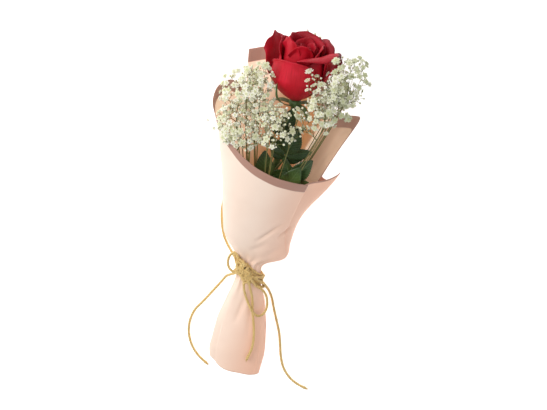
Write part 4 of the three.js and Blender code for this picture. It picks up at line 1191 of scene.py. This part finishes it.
# Each spray's name, the angle of its stem in the ring, the points on its stem's way, its balls of florets
# (each its middle, its half sizes and how many tips it has), and the places of its largest florets.
SPRAYS = (
    ("spray_left_back", 200, (),
     (((-34, 160, 34), (19, 25, 17), 110), ((-26, 172, 44), (14, 14, 8), 28)),
     ((-45.3, 161.9, 50),)),
    ("spray_left_front", 155, (),
     (((-31, 138, 58), (20, 22, 14), 125), ((-14, 136, 60), (12, 14, 9), 36)),
     ((-33.8, 128.6, 62), (-38, 124, 58), (-14.4, 133.9, 66), (-24.8, 126.4, 64), (-48.7, 145.9, 50),
      (-7.2, 151.2, 68))),
    ("spray_left_top", 108, ((-9, 90, 30),),
     (((-20, 178, 60), (15, 20, 17), 120), ((-12, 160, 62), (10, 10, 8), 25)),
     ((-15.8, 196.2, 70), (-34.8, 167.4, 64))),
    ("spray_middle", 62, ((3, 85, 50),),
     (((3, 138, 62), (14, 14, 12), 44), ((-3, 154, 64), (12, 12, 8), 56), ((15, 160, 66), (11, 6, 6), 20),
      ((18, 140, 56), (9, 10, 6), 9)),
     ((0.9, 145.4, 68), (18.5, 156.6, 66), (15.7, 143.2, 64))),
    ("spray_right_front", 15, ((24, 95, 40),),
     (((41, 166, 66), (18, 18, 13), 85), ((31.5, 176.5, 71), (8, 16, 5), 22), ((28, 152, 58), (9, 11, 8), 18),
      ((28, 188, 67), (9, 11, 4), 16)),
     ((21.2, 197.7, 71), (33.2, 188, 69), (33, 174.5, 67), (35.4, 149.3, 61))),
    ("spray_right_top", 325, (),
     (((56, 193, 58), (19, 22, 19), 140), ((44.5, 185, 68), (9, 12, 8), 36)),
     ((44.5, 186.4, 71), (50, 186.8, 69), (41.7, 209.8, 68))),
    ("spray_right_back", 280, (),
     (((48, 177, 30), (18, 20, 14), 90), ((38, 164, 50), (9, 13, 10), 26)),
     ((60.5, 162.2, 60),)),
)
# Places of the single buds that stand out at the bouquet's edge, by the spray that they are on.
STRAY_BUDS = {
    "spray_right_back": ((13.9, 224.6, 22), (21.0, 222.6, 22), (25.9, 220.4, 22)),
    "spray_left_front": ((-57.5, 137.5, 50),),
}
# A floret's dishes, from the outer one in: how many petals, their radius, their heights and their turn. Each
# petal is drawn by four points, each with its reach, its lift and how far round it is.
FLORET_WHORLS = ((5, 1.0, 0.10, 0.34, 0.0), (5, 0.74, 0.30, 0.62, 0.63), (4, 0.42, 0.50, 0.86, 0.3))
FLORET_RING = ((0.55, 0.0, 0.0), (0.98, 1.0, 0.27), (0.86, 0.8, 0.5), (1.0, 1.0, 0.73))
BUD_ROWS = ((0.42, -0.42), (0.62, -0.05), (0.5, 0.4), (0.22, 0.66))  # radius and height
BUD_ENDS = (-0.55, 0.74)
BUD_SIDES = 7


def floret_mesh():
    """A small double floret: three closed frilled dishes, one in another, each with notched petals."""
    positions, faces, depths = [], [], []
    for petals, radius, low, high, turn in FLORET_WHORLS:
        first = len(positions)
        count = petals * 4
        for k in range(count):
            reach, lift, offset = FLORET_RING[k % 4]
            angle = math.tau * (k // 4 + offset) / petals + turn
            height = lerp(low, high, lift) * 0.5
            positions.append((radius * reach * math.cos(angle), radius * reach * math.sin(angle), height))
            depths.append(reach * radius)
        positions.extend(((0, 0, low * 0.5 + 0.05), (0, 0, low * 0.5 - 0.12)))
        depths.extend((0.0, 0.25))
        for k in range(count):
            after = (k + 1) % count
            faces.append((first + k, first + after, first + count))
            faces.append((first + after, first + k, first + count + 1))
    return new_mesh("floret", positions, [], faces, petal_depth=depths)


def bud_mesh():
    """A closed bud: a small egg, cream at its top and green where its cup holds it."""
    positions, faces, depths = [], [], []
    sides = BUD_SIDES
    for radius, height in BUD_ROWS:
        for k in range(sides):
            angle = math.tau * k / sides
            positions.append((radius * math.cos(angle), radius * math.sin(angle), height))
            depths.append(smoothstep(height, -0.5, 0.2))
    for row in range(len(BUD_ROWS) - 1):
        for k in range(sides):
            here, after = row * sides + k, row * sides + (k + 1) % sides
            faces.append((here, after, after + sides, here + sides))
    positions.extend((0, 0, height) for height in BUD_ENDS)
    depths.extend((0.0, 0.9))
    foot, top = len(positions) - 2, len(positions) - 1
    for k in range(sides):
        after = (k + 1) % sides
        faces.append((after, k, foot))
        faces.append((foot - sides + k, foot - sides + after, top))
    return new_mesh("bud", positions, [], faces, petal_depth=depths)


def floret_material():
    """Cream petals with a yellow-green throat and a dark eye, partly the floret's green heart and partly
    painted shade in its hollow. Florets differ in tone at random, and painted shade makes them darker and
    greener towards the right, away from the light, and over patches deep in the sprays.
    """
    material, tree, shader = new_material("floret_cream", 0.7, Sheen_Weight=0.15, Subsurface_Weight=0.15,
                                          Subsurface_Radius=(0.001, 0.001, 0.0006))
    depth = piece_attribute(tree, "petal_depth")
    tone = piece_attribute(tree, "floret_tone")
    petals = blend(tree, tone, (0.98, 0.97, 0.90, 1), (0.84, 0.85, 0.62, 1))
    # Painted shade: florets towards the right, away from the light, are darker and greener.
    place_x = add_node(tree, "ShaderNodeSeparateXYZ", {0: object_place(tree)}).outputs["X"]
    shaded = times(tree, share_between(tree, place_x, 0.02, 0.055), tone)
    petals = blend(tree, shaded, petals, (0.46, 0.50, 0.34, 1))
    # Painted shade over patches of florets, for those that lie deep in the sprays.
    shade_patches = add_node(tree, "ShaderNodeTexNoise", {"Scale": 60.0, "Detail": 1.0}).outputs[0]
    petals = blend(tree, share_between(tree, shade_patches, 0.45, 0.66, 0.0, 0.65), petals, (0.62, 0.62, 0.34, 1))
    # Partly painted shade: the throat and eye are the floret's green heart, darkened as the hollow's shade.
    throat = blend(tree, share_between(tree, depth, 0.04, 0.5, 0.65, 0.0), petals, (0.50, 0.53, 0.20, 1))
    eye = share_between(tree, depth, 0.0, 0.1, 0.7, 0.0)
    tree.links.new(blend(tree, eye, throat, (0.20, 0.22, 0.07, 1)), shader.inputs["Base Color"])
    return material


def floret_tree():
    """Puts a floret on each point marked 1 and a bud on each marked 2, turned to face outward."""
    inputs = {"Floret": "Object", "Bud": "Object", "Material": "Material", "Seed": "Int"}
    tree, given = new_tree("florets_on_twigs", inputs)
    kind = named_value(tree, "tip_kind")
    facing = named_value(tree, "facing", "FLOAT_VECTOR")
    size = named_value(tree, "tip_size")
    tone = add_node(tree, "FunctionNodeRandomValue", {"Seed": given["Seed"]}, data_type="FLOAT").outputs[1]
    joined = tree.nodes.new("GeometryNodeJoinGeometry")
    for mark, source in ((1.0, "Floret"), (2.0, "Bud")):
        chosen = add_node(tree, "FunctionNodeCompare", {0: kind, 1: mark, "Epsilon": 0.1},
                          data_type="FLOAT", operation="EQUAL").outputs[0]
        inputs = {"Mesh": given["Geometry"], "Selection": chosen}
        points = add_node(tree, "GeometryNodeMeshToPoints", inputs).outputs[0]
        points = stored(tree, points, "floret_tone", tone)
        shape = add_node(tree, "GeometryNodeObjectInfo", {"Object": given[source]}).outputs["Geometry"]
        aimed = add_node(tree, "FunctionNodeAlignRotationToVector", {"Vector": facing}, axis="Z").outputs[0]
        spin = add_node(tree, "FunctionNodeRandomValue", {2: 0.0, 3: math.tau, "Seed": given["Seed"]},
                        data_type="FLOAT").outputs[1]
        spun = add_node(tree, "FunctionNodeAxisAngleToRotation", {"Angle": spin}).outputs[0]
        turned = add_node(tree, "FunctionNodeRotateRotation", {"Rotation": aimed, "Rotate By": spun},
                          rotation_space="LOCAL").outputs[0]
        inputs = {"Points": points, "Instance": shape, "Rotation": turned, "Scale": size}
        placed = add_node(tree, "GeometryNodeInstanceOnPoints", inputs).outputs[0]
        tree.links.new(placed, joined.inputs[0])
    end_tree(tree, joined.outputs[0], given["Material"])
    return tree


def solid_of(*nodes):
    """A search tree over the closed meshes of some of the frame's nodes."""
    points, triangles = [], []
    for node in nodes:
        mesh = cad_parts[node].data
        first = len(points)
        points.extend(vertex.co.copy() for vertex in mesh.vertices)
        triangles.extend([first + k for k in polygon.vertices] for polygon in mesh.polygons)
    return BVHTree.FromPolygons(points, triangles)


PAPER_SOLID = solid_of("wrap_outer_sheet", "wrap_inner_sheet")
ROSE_SOLID = solid_of("rose_bloom", "rose_stem")


def is_clear(point, margin):
    """True where a point is over the table, clear of the paper and the rose, and not inside either."""
    if point.z < margin + 1 * MM:
        return False
    for solid in (PAPER_SOLID, ROSE_SOLID):
        nearest, normal, _, distance = solid.find_nearest(point)
        if distance < margin or (point - nearest).dot(normal) < 0:
            return False
    return True


def way_is_free(start, stop):
    """True where a straight twig between two places meets neither the paper nor the rose."""
    way = stop - start
    solids = (PAPER_SOLID, ROSE_SOLID)
    return all(solid.ray_cast(start, way.normalized(), way.length)[0] is None for solid in solids)


def is_inside_wrap(point):
    """True within the wrap's oval, or past its rim."""
    y = (point.y - TIE_Y) / MM
    left, right, top, bottom = section_at(y)
    x = (point.x / MM - (left + right) / 2) / ((right - left) / 2)
    z = (point.z / MM - (top + bottom) / 2) / ((top - bottom) / 2)
    angle = math.degrees(math.atan2(z, x)) % 360
    rim_y = rim_height(OUTER_RIM, angle + 360 if angle < OUTER_RIM[0][0] else angle, OUTER_EASING)
    return math.hypot(x, z) < 0.97 or y > rim_y + 4


def spray_line(ring, heart, size, via):
    """A spray's stem: in the ring through the tie, then out beside the rose's stem to its own place."""
    def beside(y, distance):
        middle = next(point for point in STEM_LINE if point.y >= TIE_Y + y * MM)
        turn = math.radians(ring)
        return middle + Vector((math.cos(turn), 0, math.sin(turn))) * distance * MM
    points = [beside(y, SPRAY_RING_RADIUS) for y in (-64, -28, 10)] + [beside(30, SPRAY_RING_RADIUS + 2.2)]
    points += [at(*place) for place in via]
    points += [heart - Vector((0, 0.9 * size.y, 0.4 * size.z)), heart]
    return smooth_route(points, 4 * MM)


def side_stems(stem_line, balls, seed):
    """Thinner stems that leave the spray's own stem inside the wrap and run up to the foot of its balls.

    The sprays at the right have fewer, as the wing shows between their stems.
    """
    rng = random.Random(seed + 100)
    found = []
    for attempt in range(SIDE_STEM_TRIES):
        start = stem_line[int(len(stem_line) * rng.uniform(0.42, 0.62))]
        middle, half_size, _ = balls[attempt % len(balls)]
        aside = Vector((rng.uniform(-0.7, 0.7), -0.8, rng.uniform(-0.6, 0.4)))
        stop = at(*middle) + aside * Vector(half_size) * MM
        if stop.y - start.y > 25 * MM and is_clear(stop, 2 * MM) and way_is_free(start, stop):
            bowed = start.lerp(stop, 0.45) + Vector((0, 0, 1.5 * MM))
            found.append(smooth_route([start, bowed, stop], 6 * MM))
    return found[:SIDE_STEMS["right" if balls[0][0][0] > RIGHT_SIDE else "left"]]


def spray_tips(tips, heart, size, count, rng):
    """Adds places for florets inside a ball, clear of the paper, the rose and each other."""
    wanted = len(tips) + count
    for _ in range(PLACE_TRIES):
        if len(tips) == wanted:
            break
        offset = Vector((rng.uniform(-1, 1), rng.uniform(-1, 1), rng.uniform(-1, 1)))
        if not 0.3 < offset.length < 1.04:
            continue
        point = heart + Vector((offset.x * size.x, offset.y * size.y, offset.z * size.z))
        is_open = rng.random() < OPEN_SHARE
        diameter = (FLORET_DIAMETER if is_open else BUD_DIAMETER) * rng.uniform(0.72, 1.1) * MM
        if not is_clear(point, diameter * 0.42) or not is_inside_wrap(point):
            continue
        if any((point - other).length < 0.37 * (diameter + wide) for other, wide, _ in tips):
            continue
        tips.append((point, diameter, is_open))


def grow_spray(name, ring, via, balls, large_places, seed):
    """The spray's twigs and its florets. Each twig starts at the nearest fork below it that it can reach."""
    rng = random.Random(seed)
    heart, size = at(*balls[0][0]), Vector(balls[0][1]) * MM
    stem_line = spray_line(ring, heart, size, via)
    lines = [stem_line]
    thickness = [lerp(1.0, 0.55, k / (len(stem_line) - 1)) for k in range(len(stem_line))]
    forks = [(point, 0.6) for point in stem_line[len(stem_line) // 2:]]
    for line in side_stems(stem_line, balls, seed):
        lines.append(line)
        girths = [lerp(0.8, 0.5, k / (len(line) - 1)) for k in range(len(line))]
        thickness.extend(girths)
        forks.extend((line[k], girths[k]) for k in range(len(line) // 2, len(line)))
    ends = []
    tips = [(at(*place), LARGE_FLORET_DIAMETER * MM, True) for place in large_places]
    tips += [(at(*place), BUD_DIAMETER * MM, False) for place in STRAY_BUDS.get(name, ())]
    for middle, half_size, count in balls:
        spray_tips(tips, at(*middle), Vector(half_size) * MM, count, rng)
    for point, diameter, is_open in sorted(tips, key=lambda tip: tip[0].y):
        offset = point - heart
        outward = Vector((offset.x / size.x, offset.y / size.y + 0.3, offset.z / size.z + 0.7)).normalized()
        foot = point - outward * diameter * 0.12
        below = [fork for fork in forks if foot.y - fork[0].y > 2 * MM and (foot - fork[0]).length > 4 * MM]
        below.sort(key=lambda fork: (foot - fork[0]).length * (1.6 - 0.6 * (foot - fork[0]).normalized().y))
        reachable = next((fork for fork in below[:FORK_TRIES] if way_is_free(fork[0], foot)), None)
        if reachable is None:
            continue
        start, girth = reachable
        knee = start.lerp(foot, 0.55) + Vector((0, 1, 0)) * (foot - start).length * 0.05 - outward * 1.2 * MM
        line = smooth_route([start, knee, foot], 5 * MM)
        lines.append(line)
        girths = [lerp(girth, 0.24, k / (len(line) - 1)) for k in range(len(line))]
        thickness.extend(girths)
        forks.extend((line[k], girths[k]) for k in range(1, len(line) - 1))
        ends.append((point, diameter / 2, 1.0 if is_open else 2.0, outward))
    twigs = green_tubes(name + "_twigs", lines, thickness, SPRAY_STEM_RADIUS, 5, TWIG_GREEN)
    places, sizes, kinds, ways = zip(*ends)
    tip_mesh = new_mesh(name + "_tips", places, [], [], tip_size=sizes, tip_kind=kinds)
    facing = [number for way in ways for number in way]
    tip_mesh.attributes.new("facing", "FLOAT_VECTOR", "POINT").data.foreach_set("vector", facing)
    values = {"Floret": FLORET, "Bud": BUD, "Material": FLORET_CREAM, "Seed": seed}
    florets = grow(name + "_florets", tip_mesh, FLORET_TREE, values)
    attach(florets, "root")
    for piece, slot in ((twigs, "rose_greenery"), (florets, "spray_florets")):
        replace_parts(piece, name)


TWIG_GREEN = leaf_material("twig_green", (0.15, 0.15, 0.045, 1), (0.28, 0.27, 0.085, 1),
                           (0.2, 0.22, 0.09, 1), 0.6)
FLORET_CREAM = floret_material()
FLORET_TREE = floret_tree()
FLORET = bpy.data.objects.new("floret", floret_mesh())
BUD = bpy.data.objects.new("bud", bud_mesh())
for seed, spray in enumerate(SPRAYS, 31):
    grow_spray(*spray, seed)
for pattern in (FLORET, BUD):
    bpy.data.objects.remove(pattern)

# ---- the table and the light ----
# A plain pale table under soft daylight from the upper left, with a weak fill from the right.
TABLE_REACH = 3
TABLE_TOP = -0.2 * MM
floor_signs = ((-1, -1), (1, -1), (1, 1), (-1, 1))
floor_corners = [(x * TABLE_REACH, y * TABLE_REACH, TABLE_TOP) for x, y in floor_signs]
floor_mesh = new_mesh("table_top", floor_corners, [], [(0, 1, 2, 3)])
floor = new_object("table_top", floor_mesh)
floor_material, _, _ = new_material("pale_table", 0.9, Base_Color=(0.93, 0.93, 0.93, 1),
                                   Emission_Color=(1.0, 1.0, 1.0, 1), Emission_Strength=0.7)
floor_mesh.materials.append(floor_material)
floor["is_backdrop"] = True

LIGHTS = (
    ("window_light", (-0.95, 0.55, 1.0), 0.8, 13.1, (1.0, 0.98, 0.95)),
    ("fill_light", (0.9, -0.5, 0.9), 1.1, 2.6, (1.0, 0.99, 0.98)),
    ("top_light", (0.0, 0.1, 1.9), 1.4, 4.0, (1.0, 1.0, 1.0)),
)
for name, place, size, power, tint in LIGHTS:
    light_data = bpy.data.lights.new(name, "AREA")
    light_data.size = size
    light_data.energy = power
    light_data.color = tint
    light = bpy.data.objects.new(name, light_data)
    light.location = place
    light.rotation_euler = (Vector(place) - VIEW_MIDDLE).to_track_quat("Z", "Y").to_euler()
    bpy.context.scene.collection.objects.link(light)
world = bpy.data.worlds.new("studio")
world.use_nodes = True
background = world.node_tree.nodes["Background"]
background.inputs["Color"].default_value = (1.0, 0.99, 0.98, 1)
background.inputs["Strength"].default_value = 0.4
bpy.context.scene.world = world
bpy.context.scene.view_settings.view_transform = "Standard"

boxes = {"cad": cad_bounds, "visual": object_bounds()}
{name: [list(corner) for corner in box] for name, box in boxes.items()}
